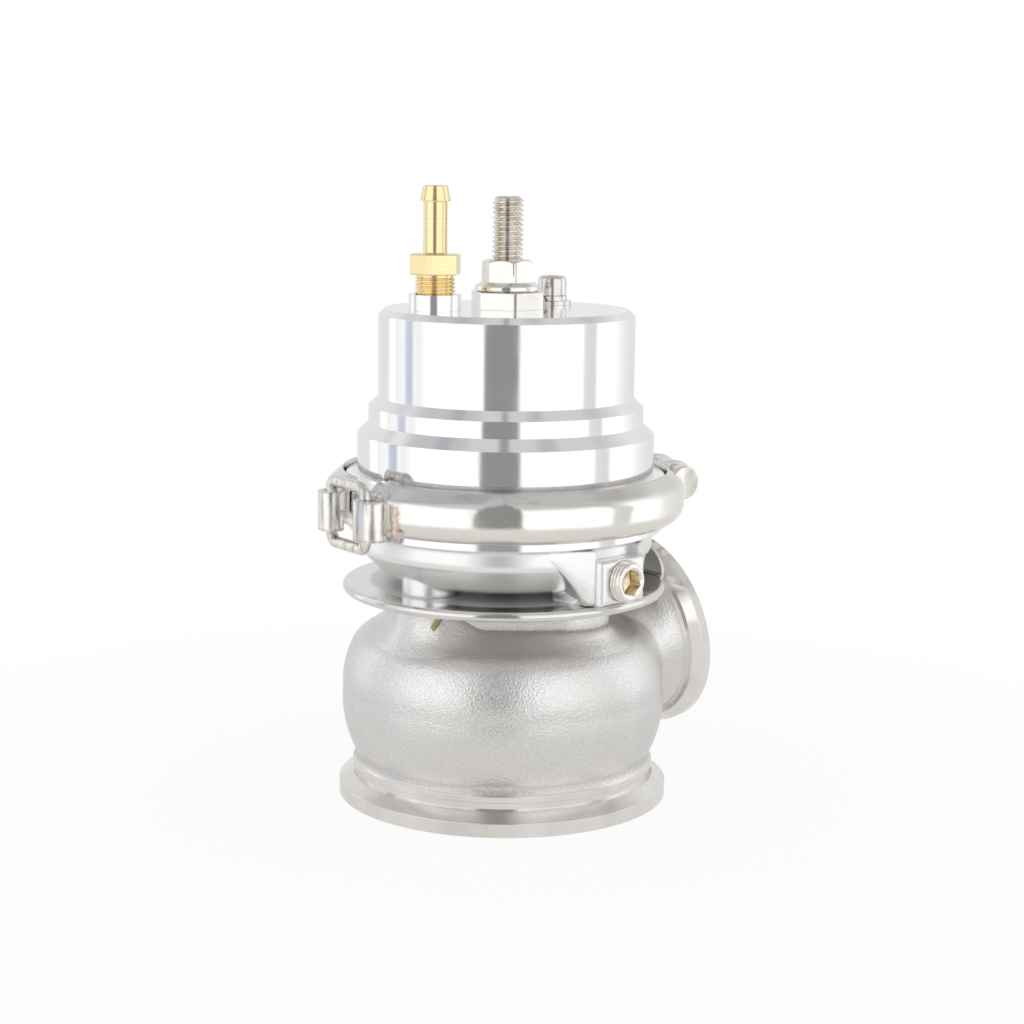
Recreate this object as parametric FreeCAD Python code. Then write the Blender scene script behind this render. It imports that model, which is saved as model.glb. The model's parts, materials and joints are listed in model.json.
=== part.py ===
import FreeCAD, Part
import math
import os

# External wastegate valve: a cast valve housing with two V-band ports, a poppet on a
# guided stem, and a spring and diaphragm actuator held together by a two-half clamp.
# Millimetres.  +Z is the valve axis, the origin is the centre of the inlet flange face.
# Directions round the axis are degrees from +X, counter-clockwise seen from above.

Vec = FreeCAD.Vector
UP = Vec(0, 0, 1)
ORIGIN = Vec(0, 0, 0)

# ---- clearances and fits --------------------------------------------------------------
RUNNING = 0.05          # radial, stem in guide and screws in their threads
PRESSED = 0.0           # radial, seat and guide in the housing
LOOSE = 0.3             # between the clamp and what it holds
BOLT_CLEARANCE = 0.25   # radial, bolts through plain holes
SEAT_CLEARANCE = 0.05   # valve cone to seat cone, along the radius
O_RING_CLEARANCE = 0.06
LINK_CLEARANCE = 0.1    # radial, ring link in the rolled loops

# ---- valve housing --------------------------------------------------------------------
INLET_FLANGE_R = 43.6
INLET_RIM = 3.5
INLET_BEVEL_RUN = 3.5
INLET_BEVEL_RISE = 2.2
INLET_GROOVE_R = 39.2
INLET_RING_R = 39.9
INLET_RING_Z = 7.7
INLET_RING_HEIGHT = 1.6
BODY_R = 42.6
BODY_WAIST_R = 38.4
BODY_WIDEST_Z = 28.5
BODY_LOW_R = 41.7
BODY_LOW_Z = 18.0
BODY_HIGH_R = 42.0
BODY_HIGH_Z = 35.5
SHOULDER_R = 39.9
SHOULDER_Z = 41.0
SHOULDER_MID_R = 38.0
SHOULDER_MID_Z = 43.1
CROWN_R = 34.5
CROWN_Z = 44.9
WALL = 4.2
ROOF_Z = 42.0
PLATE_Z = 49.3
PLATE_THICKNESS = 4.9
PLATE_HALF = 27.0
PLATE_CORNER_R = 12.0
GUIDE_BOSS_R = 11.0
GUIDE_BOSS_DROP = 6.0

SEAT_OUTER_R = 32.0
SEAT_BORE_R = 26.5
SEAT_Z = 4.5
SEAT_HEIGHT = 6.0
SEAT_CHAMFER = 2.0
SEAT_STOP = 1.0

OUTLET_DIRECTION = 38.0
OUTLET_TILT = 9.0
OUTLET_REACH = 49.5
OUTLET_Z = 38.3
OUTLET_FLANGE_R = 27.3
OUTLET_RIM = 2.6
OUTLET_BEVEL_RUN = 2.4
OUTLET_BEVEL_RISE = 2.0
OUTLET_GROOVE = 0.8
OUTLET_GROOVE_DEPTH = 0.7
OUTLET_COLLAR = 0.6
OUTLET_BORE_R = 20.0
OUTLET_WALL = 3.6
NECK_THROAT_REACH = 36.0
NECK_THROAT_WIDE = 22.0
NECK_THROAT_HIGH = 17.0
NECK_THROAT_Z = 35.4
NECK_ROOT_REACH = 20.0
NECK_ROOT_WIDE = 21.0
NECK_ROOT_HIGH = 15.5
NECK_ROOT_Z = 31.5

# ---- valve, guide and seals -----------------------------------------------------------
STEM_R = 4.0
STEM_THREAD_R = 3.0
STEM_THREAD_LENGTH = 16.0
VALVE_RIM = 1.6
VALVE_OVERHANG = 1.9
TULIP_HEIGHT = 11.0
GUIDE_OUTER_R = 7.5
GUIDE_LENGTH = 20.0
GUIDE_HEAD_R = 9.5
GUIDE_HEAD = 1.8
SEAL_OUTER_R = 8.0
SEAL_HEIGHT = 3.0
CIRCLIP = 1.0
CIRCLIP_R = 8.8
CIRCLIP_BORE_R = 6.2

# ---- heat shield and its gasket -------------------------------------------------------
GASKET = 0.4
GASKET_BORE_R = 7.5
GASKET_TAB_DIRECTION = -119.5
GASKET_TAB_REACH = 33.6
GASKET_TAB_WIDTH = 1.5
GASKET_TAB_DROP = 6.2
GASKET_TAB_SLANT = 2.3
GASKET_TAB_BEND = 2.0
SHIELD_R = 42.6
SHIELD = 2.4
SHIELD_EDGE = 0.9
SHIELD_BORE_R = 6.5
FLAP_SETBACK = 12.1         # fold of the flap behind the outlet face
FLAP_LEAN = 8.0
FLAP_THICKNESS = 1.0
FLAP_HALF_WIDTH = 20.6
FLAP_HEIGHT = 10.0

# ---- actuator base --------------------------------------------------------------------
BOSS_DIRECTION = -44.0
BOSS_CIRCLE_R = 27.0
BOSS_R = 7.3
BOSS_HEIGHT = 2.3
BASE_FLOOR = 3.1
BASE_FLOOR_R = 29.0         # flat underside of the bowl
BASE_CONE_LOW_R = 33.4
BASE_CONE_LOW = 4.1         # above the heat shield, as the next heights
BASE_CONE_HIGH_R = 37.6
BASE_WALL_R = 38.8
BASE_WALL_FOOT = 10.6
BASE_WALL_TOP = 14.2
BASE_LIP_FOOT = 15.0
BASE_WALL = 3.2
BASE_LIP_R = 41.3
SEAL_BOSS_R = 11.2
SEAL_SEAT = 0.6
SEAL_BOSS_SPARE = 0.9
BASE_BOLT_R = 2.5
BASE_BOLT_HEAD_R = 4.25
BASE_BOLT_HEAD = 5.0
BASE_BOLT_LENGTH = 13.0
BASE_BOLT_SOCKET = 4.0
PORT_DIRECTION = -45.0
PORT_FACE = 42.6
PORT_BLOCK_HALF = 8.1
PORT_BLOCK_ROOT_HALF = 18.5
PORT_FLANK = 5.4
PORT_SLOPE = 33.0
PORT_SLOPE_RISE = 3.6
PORT_EDGE_R = 1.6
PORT_BLOCK_ROOT = 33.0
PORT_BLOCK_HEIGHT = 11.6
PORT_AXIS_HEIGHT = 5.8
PORT_THREAD_R = 5.14
PORT_THREAD_DEPTH = 8.0
PORT_PASSAGE_R = 1.6
PORT_PASSAGE_RISE = 1.7
PLUG_PROUD = 2.7
PLUG_CHAMFER = 0.75
PLUG_SOCKET = 6.0
PLUG_SOCKET_DEPTH = 5.0

# ---- clamp flanges and clamp ----------------------------------------------------------
JOINT_HEIGHT = 23.7         # actuator joint face above the top of the heat shield
FLANGE_R = 44.2
BASE_FLANGE_RIM = 2.3
BASE_FLANGE_BEVEL = 2.2
CAP_FLANGE_RIM = 2.4
CAP_FLANGE_BEVEL = 2.8
BEVEL_RUN = 2.6
BAND_R = 47.0
BAND_TOP_R = 42.4
BAND_TOP = 6.4              # top edge of the band above the joint face
BAND_BOTTOM = 6.4
BAND_BOTTOM_R = 42.0
BAND_FLANK_SLOPE = 40.5     # of the upper flank, degrees below level
BAND_SHOULDER_R = 3.2
BAND_FACE_LOW = 1.7         # the upright face ends this far below the joint face
BAND_HEEL_R = 5.2
CLAMP_SPLIT = 34.0          # direction of the closing bolt; the link is opposite
FRONT_BAND_START = -138.0
FRONT_BAND_END = 29.2
REAR_BAND_START = 38.8
REAR_BAND_END = 208.0
LINK_DIRECTION = -145.0
LINK_STAND = 1.5            # axes of the link's two upright bars outside the band
LINK_HALF_ANGLE = 9.7
LINK_BAR_R = 1.5
LINK_HEIGHT = 18.6
LINK_CORNER = 2.5
LOOP_R = 3.1
FRONT_LOOP_LENGTH = 3.0
REAR_LOOP_LENGTH = 1.2
LOOP_SLOT = 1.6
LOOP_HEIGHT = 10.0
LOOP_Z = -2.2               # middle of the loops from the joint face
BOLT_STAND = 6.2            # closing bolt's axis outside the band
BOLT_AXIS_Z = -0.9
LUG_GAP = 4.4
LUG = 3.0
FRONT_LUG_R = 5.6
GUSSET_HEIGHT = 9.2
GUSSET_REACH = 15.0
REAR_LUG_R = 6.4
CLAMP_BOLT_R = 3.0
CLAMP_BOLT_HEAD_R = 4.7
CLAMP_BOLT_HEAD = 3.2
CLAMP_BOLT_CHAMFER = 0.5
CLAMP_BOLT_SPARE = 7.0
CLAMP_HOLE_PLAY = 0.7
CLAMP_WASHER = 0.8
CLAMP_WASHER_R = 4.6
CLAMP_HEAD_GAP = 0.1
CLAMP_HEAD_ROOM = 0.4
CLAMP_NUT_FLATS = 10.0
CLAMP_NUT = 5.0

# ---- diaphragm, pistons, springs ------------------------------------------------------
BEAD_IN_R = 36.7
BEAD_OUT_R = 40.3
BEAD = 2.1
RUBBER = 1.0
PISTON_Z = 11.6             # underside of the lower piston above the heat shield
LOWER_PISTON_R = 30.5
LOWER_PISTON = 2.6
UPPER_PISTON_R = 29.0
UPPER_PISTON = 2.8
UPPER_PISTON_RIM = 6.6
PISTON_HUB_R = 8.0
PISTON_HUB = 4.0
STEM_WASHER = 1.4
STEM_WASHER_R = 6.2
STEM_NUT = 5.2
STEM_NUT_FLATS = 10.0
ADJUSTER_ROOM = 5.0         # between the spring seat and the cap's ceiling
OUTER_SPRING_R = 23.4
OUTER_SPRING_WIRE_R = 1.7
OUTER_SPRING_TURNS = 5.5
INNER_SPRING_R = 14.5
INNER_SPRING_WIRE_R = 1.4
INNER_SPRING_TURNS = 6.5
SPRING_STEPS = 10           # sections per turn, and round half the wire
WIRE_STEPS = 4
SPRING_SEAT_R = 26.5
SPRING_SEAT = 3.0
SPRING_SEAT_HUB_R = 7.0
SPRING_SEAT_HUB = 2.0
SPRING_PILOT = 3.0

# ---- actuator cap ---------------------------------------------------------------------
CAP_HEIGHT = 47.8           # above the joint face
CAP_R = 33.35
CAP_MIDDLE_R = 35.85
CAP_FOOT_R = 38.75
CAP_EDGE = 1.6
CAP_MIDDLE_TOP = 22.7
CAP_FOOT_TOP = 15.6
CAP_FOOT_STEP = 2.9
CAP_MIDDLE_STEP = 2.4
CAP_TOP_THICKNESS = 4.5
CAP_BORE_R = 29.9
CAP_SKIRT_BORE_R = 34.8
CAP_SKIRT_DEPTH = 14.5

# ---- fittings on the cap --------------------------------------------------------------
BUSH_FLATS = 16.8
BUSH_HEX = 4.5
BUSH_THREAD_R = 7.0
BUSH_TURN = 44.0            # direction of one corner of the hexagon
STUD_R = 4.0
STUD_ABOVE_NUT = 16.2
STUD_TIP_R = 2.9
STUD_TIP = 1.5
LOCK_NUT_FLATS = 12.0
LOCK_NUT_FLANGE_R = 8.5
LOCK_NUT_FLANGE = 2.5
LOCK_NUT = 8.0
LOCK_NUT_TURN = 46.0
LOCK_NUT_GAP = 0.1
FITTING_CIRCLE_R = 20.2
BARB_DIRECTION = -155.5
CAP_BOSS_R = 6.7
CAP_BOSS = 4.1
BARB_THREAD_R = 5.14
BARB_THREAD = 5.0
BARB_THREAD_IN = 6.0
BARB_FLATS = 12.0
BARB_HEX = 5.2
BARB_TURN = 22.0
BARB_STEM_R = 3.05
BARB_STEM = 13.3
BARB_RIDGE_R = 3.9
BARB_TIP_R = 3.15
BARB_CONE = 3.9
BARB_BORE_R = 1.9
VENT_DIRECTION = 53.6
VENT_SCREW_R = 2.5
VENT_HEAD_R = 3.8
VENT_HEAD = 5.2
VENT_SOCKET = 4.0
VENT_SCREW_LENGTH = 7.0
VENT_WASHER_R = 5.1
VENT_WASHER = 1.1
SPRING_WASHER_R = 3.95
SPRING_WASHER = 1.3

# ---- heights worked out from the sizes above -------------------------------------------
PLATE_TOP = PLATE_Z + PLATE_THICKNESS
SHIELD_Z = PLATE_TOP + GASKET
SHIELD_TOP = SHIELD_Z + SHIELD
BASE_Z = SHIELD_TOP + BOSS_HEIGHT
FLOOR_Z = BASE_Z + BASE_FLOOR
JOINT_Z = SHIELD_TOP + JOINT_HEIGHT
CAP_TOP = JOINT_Z + CAP_HEIGHT
CAP_CEILING = CAP_TOP - CAP_TOP_THICKNESS
SEAT_TOP = SEAT_Z + SEAT_HEIGHT
LOWER_PISTON_Z = SHIELD_TOP + PISTON_Z
DIAPHRAGM_Z = LOWER_PISTON_Z + LOWER_PISTON
UPPER_PISTON_Z = DIAPHRAGM_Z + RUBBER
SPRING_Z = UPPER_PISTON_Z + UPPER_PISTON
SPRING_TOP = CAP_CEILING - ADJUSTER_ROOM - SPRING_SEAT
SPRING_LENGTH = SPRING_TOP - SPRING_Z
HUB_TOP = UPPER_PISTON_Z + PISTON_HUB
SEAL_Z = FLOOR_Z + SEAL_SEAT
SPRING_SEAT_TOP = SPRING_TOP + SPRING_SEAT
STUD_Z = SPRING_SEAT_TOP + 0.4
BUSH_TOP = CAP_TOP + BUSH_HEX
LOCK_NUT_Z = BUSH_TOP + LOCK_NUT_GAP
LOCK_NUT_TOP = LOCK_NUT_Z + LOCK_NUT
BOLT_Z = JOINT_Z + BOLT_AXIS_Z
BOLT_AXIS_R = BAND_R + BOLT_STAND
LINK_R = BAND_R + LINK_STAND
FLAP_FOLD = OUTLET_REACH - FLAP_SETBACK
BARB_SEAT_Z = CAP_TOP + CAP_BOSS
PORT_Z = SHIELD_TOP + PORT_AXIS_HEIGHT


# ---- helpers --------------------------------------------------------------------------
def toward(direction, reach=1.0, z=0.0):
    """Point at a reach from the valve axis in a direction."""
    angle = math.radians(direction)
    return Vec(reach * math.cos(angle), reach * math.sin(angle), z)


def outline(points):
    """Closed wire in the XZ plane; a step of two points is an arc through the first."""
    edges = []
    here = Vec(points[0][0], 0, points[0][1])
    start = here
    for step in points[1:]:
        if isinstance(step[0], tuple):
            middle = Vec(step[0][0], 0, step[0][1])
            there = Vec(step[1][0], 0, step[1][1])
            edges.append(Part.Arc(here, middle, there).toShape())
        else:
            there = Vec(step[0], 0, step[1])
            edges.append(Part.makeLine(here, there))
        here = there
    edges.append(Part.makeLine(here, start))
    return Part.Wire(edges)


def turned(points, start=0.0, sweep=360.0):
    """Solid of revolution about Z of an outline given as (radius, z)."""
    face = Part.Face(outline(points))
    solid = face.revolve(ORIGIN, UP, sweep)
    solid.rotate(ORIGIN, UP, start)
    return solid


def rod(radius, low, high):
    return Part.makeCylinder(radius, high - low, Vec(0, 0, low))


def tube(inner, outer, low, high):
    return rod(outer, low, high).cut(rod(inner, low - 1, high + 1))


def hexagon(flats, low, high, turn=0.0):
    """Hexagonal bar across flats, one corner in the given direction."""
    corner = flats / math.sqrt(3)
    points = [toward(turn + 60 * side, corner, low) for side in range(7)]
    return Part.Face(Part.makePolygon(points)).extrude(Vec(0, 0, high - low))


def chamfered_hexagon(flats, low, high, turn=0.0, top=True, bottom=True):
    """Hexagonal bar whose corners are turned off at 30 degrees."""
    corner = flats / math.sqrt(3) + 0.05
    inner = flats / 2 * 0.97
    drop = (corner - inner) * math.tan(math.radians(30))
    points = [(0, low)]
    points += [(inner, low), (corner, low + drop)] if bottom else [(corner, low)]
    points += [(corner, high - drop), (inner, high)] if top else [(corner, high)]
    points += [(0, high)]
    return hexagon(flats, low, high, turn).common(turned(points))


def laid(shape, point, direction, tilt=0.0):
    """Turns a shape built along +Z so that +Z points outwards in a direction."""
    placed = shape.copy()
    placed.rotate(ORIGIN, Vec(0, 1, 0), 90.0 - tilt)
    placed.rotate(ORIGIN, UP, direction)
    placed.translate(point)
    return placed


def moved(shape, point):
    placed = shape.copy()
    placed.translate(point)
    return placed


def ellipse_wire(wide, high, point, direction, tilt=0.0):
    """Ellipse that faces outwards; high is its half height and wide its half width."""
    if wide >= high:
        curve = Part.Ellipse(ORIGIN, wide, high)
        wire = Part.Wire([curve.toShape()])
        wire.rotate(ORIGIN, UP, 90.0)
    else:
        wire = Part.Wire([Part.Ellipse(ORIGIN, high, wide).toShape()])
    return laid(wire, point, direction, tilt)


def base_bolt_places():
    """Centres of the four bolts that hold the actuator base on the housing."""
    return [toward(BOSS_DIRECTION + 90 * k, BOSS_CIRCLE_R) for k in range(4)]


# ---- valve housing ----------------------------------------------------------------------
def outlet_point(back=0.0):
    """Point on the outlet axis, a distance back from the outlet face."""
    tilt = math.radians(OUTLET_TILT)
    reach = OUTLET_REACH - back * math.cos(tilt)
    return toward(OUTLET_DIRECTION, reach, OUTLET_Z - back * math.sin(tilt))


def neck(wall):
    """Outlet neck from inside the body out to the collar behind the flange."""
    depth = OUTLET_RIM + OUTLET_BEVEL_RISE + OUTLET_GROOVE
    sections = [
        (NECK_ROOT_WIDE, NECK_ROOT_HIGH, toward(OUTLET_DIRECTION, NECK_ROOT_REACH, NECK_ROOT_Z), 0.0),
        (NECK_THROAT_WIDE, NECK_THROAT_HIGH,
         toward(OUTLET_DIRECTION, NECK_THROAT_REACH, NECK_THROAT_Z), 0.0),
        (OUTLET_BORE_R + OUTLET_WALL, OUTLET_BORE_R + OUTLET_WALL - 0.001,
         outlet_point(depth), OUTLET_TILT),
    ]
    wires = []
    for wide, high, point, tilt in sections:
        wires.append(ellipse_wire(wide - wall, high - wall, point, OUTLET_DIRECTION, tilt))
    return Part.makeLoft(wires, True, True)


def outlet_flange():
    """V-band flange, its groove and its collar, on the tilted outlet axis."""
    bevel_r = OUTLET_FLANGE_R - OUTLET_BEVEL_RUN
    groove_r = bevel_r - OUTLET_GROOVE_DEPTH
    bevel_z = -OUTLET_RIM - OUTLET_BEVEL_RISE
    groove_z = bevel_z - OUTLET_GROOVE
    collar_r = OUTLET_BORE_R + OUTLET_WALL
    shape = turned([
        (0, 0), (OUTLET_FLANGE_R, 0), (OUTLET_FLANGE_R, -OUTLET_RIM), (bevel_r, bevel_z),
        (groove_r, bevel_z), (groove_r, groove_z), (collar_r + 0.4, groove_z),
        (collar_r, groove_z - OUTLET_COLLAR), (0, groove_z - OUTLET_COLLAR)])
    return laid(shape, outlet_point(), OUTLET_DIRECTION, OUTLET_TILT)


def housing_skin():
    """Outside of the body of revolution: inlet flange, barrel and domed crown."""
    bevel_r = INLET_FLANGE_R - INLET_BEVEL_RUN
    bevel_z = INLET_RIM + INLET_BEVEL_RISE
    ring_top = INLET_RING_Z + INLET_RING_HEIGHT
    return turned([
        (0, 0), (INLET_FLANGE_R, 0), (INLET_FLANGE_R, INLET_RIM), (bevel_r, bevel_z),
        (INLET_GROOVE_R, bevel_z), (INLET_GROOVE_R, INLET_RING_Z), (INLET_RING_R, INLET_RING_Z),
        (INLET_RING_R, ring_top), (BODY_WAIST_R, ring_top + 1.0),
        ((BODY_LOW_R, BODY_LOW_Z), (BODY_R, BODY_WIDEST_Z)),
        ((BODY_HIGH_R, BODY_HIGH_Z), (SHOULDER_R, SHOULDER_Z)),
        ((SHOULDER_MID_R, SHOULDER_MID_Z), (CROWN_R, CROWN_Z)),
        (GUIDE_BOSS_R + 14, PLATE_Z), (0, PLATE_Z)])


def housing_plate():
    """Square flange with wide corners that the heat shield sits on."""
    plate = Part.makeBox(2 * PLATE_HALF, 2 * PLATE_HALF, PLATE_THICKNESS + 1,
                         Vec(-PLATE_HALF, -PLATE_HALF, PLATE_Z - 1))
    corners = [e for e in plate.Edges if abs(e.tangentAt(e.FirstParameter).z) > 0.9]
    plate = plate.makeFillet(PLATE_CORNER_R, corners)
    lower = [e for e in plate.Edges if e.BoundBox.ZMax < PLATE_Z - 0.9]
    plate = plate.makeFillet(1.2, lower)
    plate.rotate(ORIGIN, UP, BOSS_DIRECTION - 45.0)
    return plate


def housing_cavity():
    """Chamber round the valve, with the guide boss standing down from its roof."""
    stop_r = SEAT_OUTER_R - SEAT_STOP
    chamber_r = BODY_R - WALL
    boss_foot = ROOF_Z - GUIDE_BOSS_DROP
    return turned([
        (0, SEAT_TOP - 1), (stop_r, SEAT_TOP - 1), (stop_r, SEAT_TOP + 1.5),
        ((BODY_LOW_R - WALL, BODY_LOW_Z + 1), (chamber_r, BODY_WIDEST_Z)),
        ((BODY_HIGH_R - WALL, BODY_HIGH_Z - 1), (CROWN_R - 1, ROOF_Z - 2)),
        (CROWN_R - 6, ROOF_Z), (GUIDE_BOSS_R, ROOF_Z), (GUIDE_BOSS_R - 1, boss_foot), (0, boss_foot)])


def seat_pocket():
    """The seat is pressed in from the inlet side."""
    return rod(SEAT_OUTER_R + PRESSED, -1, SEAT_TOP)


def valve_housing():
    shape = housing_skin().fuse(neck(0.0)).fuse(outlet_flange()).fuse(housing_plate())
    shape = shape.cut(housing_cavity()).cut(seat_pocket())
    shape = shape.cut(neck(OUTLET_WALL))
    bore = laid(rod(OUTLET_BORE_R, -OUTLET_BORE_R * 0.5, 2), outlet_point(), OUTLET_DIRECTION,
                OUTLET_TILT)
    shape = shape.cut(bore)
    shape = shape.cut(rod(GUIDE_OUTER_R + PRESSED, ROOF_Z - GUIDE_BOSS_DROP - 1, PLATE_TOP + 1))
    shape = shape.cut(rod(GUIDE_HEAD_R + PRESSED, PLATE_TOP - GUIDE_HEAD, PLATE_TOP + 1))
    for place in base_bolt_places():
        shape = shape.cut(moved(rod(BASE_BOLT_R + RUNNING, PLATE_Z - 4, PLATE_TOP + 1), place))
    return shape.removeSplitter()


def valve_seat():
    return turned([
        (SEAT_BORE_R, SEAT_Z), (SEAT_OUTER_R, SEAT_Z), (SEAT_OUTER_R, SEAT_TOP),
        (SEAT_BORE_R + SEAT_CHAMFER, SEAT_TOP), (SEAT_BORE_R, SEAT_TOP - SEAT_CHAMFER)])


def valve_guide():
    foot = PLATE_TOP - GUIDE_LENGTH
    return turned([
        (STEM_R + RUNNING, foot), (GUIDE_OUTER_R - 0.6, foot), (GUIDE_OUTER_R, foot + 0.6),
        (GUIDE_OUTER_R, PLATE_TOP - GUIDE_HEAD), (GUIDE_HEAD_R, PLATE_TOP - GUIDE_HEAD),
        (GUIDE_HEAD_R, PLATE_TOP), (STEM_R + RUNNING, PLATE_TOP)])


# ---- moving valve assembly --------------------------------------------------------------
def valve():
    """Poppet, tulip neck and stem in one forging, threaded at the top."""
    contact_r = SEAT_BORE_R + SEAT_CHAMFER - SEAT_CLEARANCE
    face_z = SEAT_TOP - VALVE_OVERHANG - 1.0
    face_r = contact_r - (SEAT_TOP - face_z)
    top = SEAT_TOP + VALVE_RIM
    tulip = top + TULIP_HEIGHT
    thread_top = LOWER_PISTON_Z + STEM_THREAD_LENGTH
    return turned([
        (0, face_z), (face_r, face_z), (contact_r, SEAT_TOP), (contact_r, top - 0.3),
        (contact_r - 0.3, top), ((STEM_R + 6.0, top + 2.6), (STEM_R, tulip)),
        (STEM_R, LOWER_PISTON_Z), (STEM_THREAD_R, LOWER_PISTON_Z), (STEM_THREAD_R, thread_top - 0.6),
        (STEM_THREAD_R - 0.6, thread_top), (0, thread_top)])


def piston_lower():
    """Dished plate under the diaphragm."""
    z = LOWER_PISTON_Z
    r = LOWER_PISTON_R
    return turned([
        (STEM_THREAD_R + RUNNING, z), (PISTON_HUB_R, z), (PISTON_HUB_R + 1.2, z + 1.0),
        (r - 5, z + 1.0), (r - 3.4, z), (r - 1.2, z), ((r - 0.35, z + 0.35), (r, z + 1.2)),
        (r, DIAPHRAGM_Z), (STEM_THREAD_R + RUNNING, DIAPHRAGM_Z)])


def piston_upper():
    """Cup that clamps the diaphragm and carries the lower ends of both springs."""
    z = UPPER_PISTON_Z
    rim_in = UPPER_PISTON_R - 1.8
    between = (OUTER_SPRING_R - OUTER_SPRING_WIRE_R + INNER_SPRING_R + INNER_SPRING_WIRE_R) / 2
    return turned([
        (STEM_THREAD_R + RUNNING, z), (UPPER_PISTON_R - 1, z), (UPPER_PISTON_R, z + 1),
        (UPPER_PISTON_R, z + UPPER_PISTON_RIM), (rim_in, z + UPPER_PISTON_RIM), (rim_in, SPRING_Z),
        (between + 1.8, SPRING_Z), (between + 1.4, SPRING_Z + 2), (between - 1.4, SPRING_Z + 2),
        (between - 1.8, SPRING_Z), (PISTON_HUB_R + 0.8, SPRING_Z), (PISTON_HUB_R, HUB_TOP),
        (STEM_THREAD_R + RUNNING, HUB_TOP)])


def stem_washer():
    return tube(STEM_THREAD_R + RUNNING, STEM_WASHER_R, HUB_TOP, HUB_TOP + STEM_WASHER)


def stem_nut():
    low = HUB_TOP + STEM_WASHER
    nut = chamfered_hexagon(STEM_NUT_FLATS, low, low + STEM_NUT)
    return nut.cut(rod(STEM_THREAD_R + RUNNING, low - 1, low + STEM_NUT + 1))


# ---- heat shield ------------------------------------------------------------------------
def gasket_tab():
    """Handling tab of the gasket, folded down outside the square flange."""
    half = GASKET_TAB_WIDTH / 2
    low = SHIELD_Z - GASKET_TAB_DROP
    strip = Part.makeBox(GASKET_TAB_REACH - PLATE_HALF + 3, GASKET_TAB_WIDTH, GASKET,
                         Vec(PLATE_HALF - 3, -half, PLATE_TOP))
    slant = GASKET_TAB_SLANT
    bend = SHIELD_Z - GASKET_TAB_BEND
    points = [Vec(0, -half, SHIELD_Z), Vec(0, half, SHIELD_Z), Vec(0, half, bend),
              Vec(0, half - slant, low), Vec(0, -half - slant, low), Vec(0, -half, bend),
              Vec(0, -half, SHIELD_Z)]
    hanging = Part.Face(Part.makePolygon(points)).extrude(Vec(GASKET, 0, 0))
    hanging.translate(Vec(GASKET_TAB_REACH - GASKET, 0, 0))
    tab = strip.fuse(hanging)
    tab.rotate(ORIGIN, UP, GASKET_TAB_DIRECTION)
    return tab


def shield_gasket():
    side = 2 * PLATE_HALF - 1.0
    sheet = Part.makeBox(side, side, GASKET, Vec(-side / 2, -side / 2, PLATE_TOP))
    corners = [e for e in sheet.Edges if abs(e.tangentAt(e.FirstParameter).z) > 0.9]
    sheet = sheet.makeFillet(PLATE_CORNER_R, corners)
    sheet.rotate(ORIGIN, UP, BOSS_DIRECTION - 45.0)
    sheet = sheet.fuse(gasket_tab()).cut(rod(GASKET_BORE_R, PLATE_TOP - 1, SHIELD_Z + 1))
    for place in base_bolt_places():
        sheet = sheet.cut(moved(rod(BASE_BOLT_R + BOLT_CLEARANCE, PLATE_TOP - 1, SHIELD_Z + 1), place))
    return sheet.removeSplitter()


def shield_flap():
    """Part of the shield turned up in front of the outlet flange."""
    plate = Part.Face(Part.Wire([Part.Ellipse(ORIGIN, FLAP_HALF_WIDTH, FLAP_HEIGHT).toShape()]))
    plate = plate.extrude(Vec(0, 0, FLAP_THICKNESS))
    below = Part.makeBox(4 * FLAP_HEIGHT + 20, 60, 10, Vec(-2 * FLAP_HEIGHT - 10, -61.0, -4))
    plate = plate.cut(below)
    plate.rotate(ORIGIN, Vec(1, 0, 0), 90.0)
    plate.rotate(ORIGIN, UP, 90.0)
    plate.rotate(ORIGIN, Vec(0, 1, 0), FLAP_LEAN)
    plate.translate(Vec(FLAP_FOLD, 0, SHIELD_TOP))
    plate.rotate(ORIGIN, UP, OUTLET_DIRECTION)
    return plate


def heat_shield():
    edge = SHIELD_EDGE
    disc = turned([
        (SHIELD_BORE_R, SHIELD_Z), (SHIELD_R - edge, SHIELD_Z),
        ((SHIELD_R, SHIELD_Z + SHIELD / 2), (SHIELD_R - edge, SHIELD_TOP)),
        (SHIELD_BORE_R, SHIELD_TOP)])
    beyond = Part.makeBox(40, 120, 20, Vec(FLAP_FOLD + FLAP_THICKNESS * 0.55, -60, SHIELD_Z - 5))
    beyond.rotate(ORIGIN, UP, OUTLET_DIRECTION)
    disc = disc.cut(beyond).fuse(shield_flap())
    for place in base_bolt_places():
        disc = disc.cut(moved(rod(BASE_BOLT_R + BOLT_CLEARANCE, SHIELD_Z - 1, SHIELD_TOP + 1), place))
    return disc.removeSplitter()


# ---- actuator base ----------------------------------------------------------------------
def bowl_inside():
    """Inner wall of the bowl, one wall thickness inside its cone and its upright wall."""
    shift = BASE_WALL * math.sqrt(0.5)
    cone_r = BASE_CONE_LOW_R - shift
    cone_z = SHIELD_TOP + BASE_CONE_LOW + shift
    wall_r = BASE_WALL_R - BASE_WALL
    return [(cone_r - cone_z + FLOOR_Z, FLOOR_Z), (wall_r, cone_z + wall_r - cone_r)]


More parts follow.
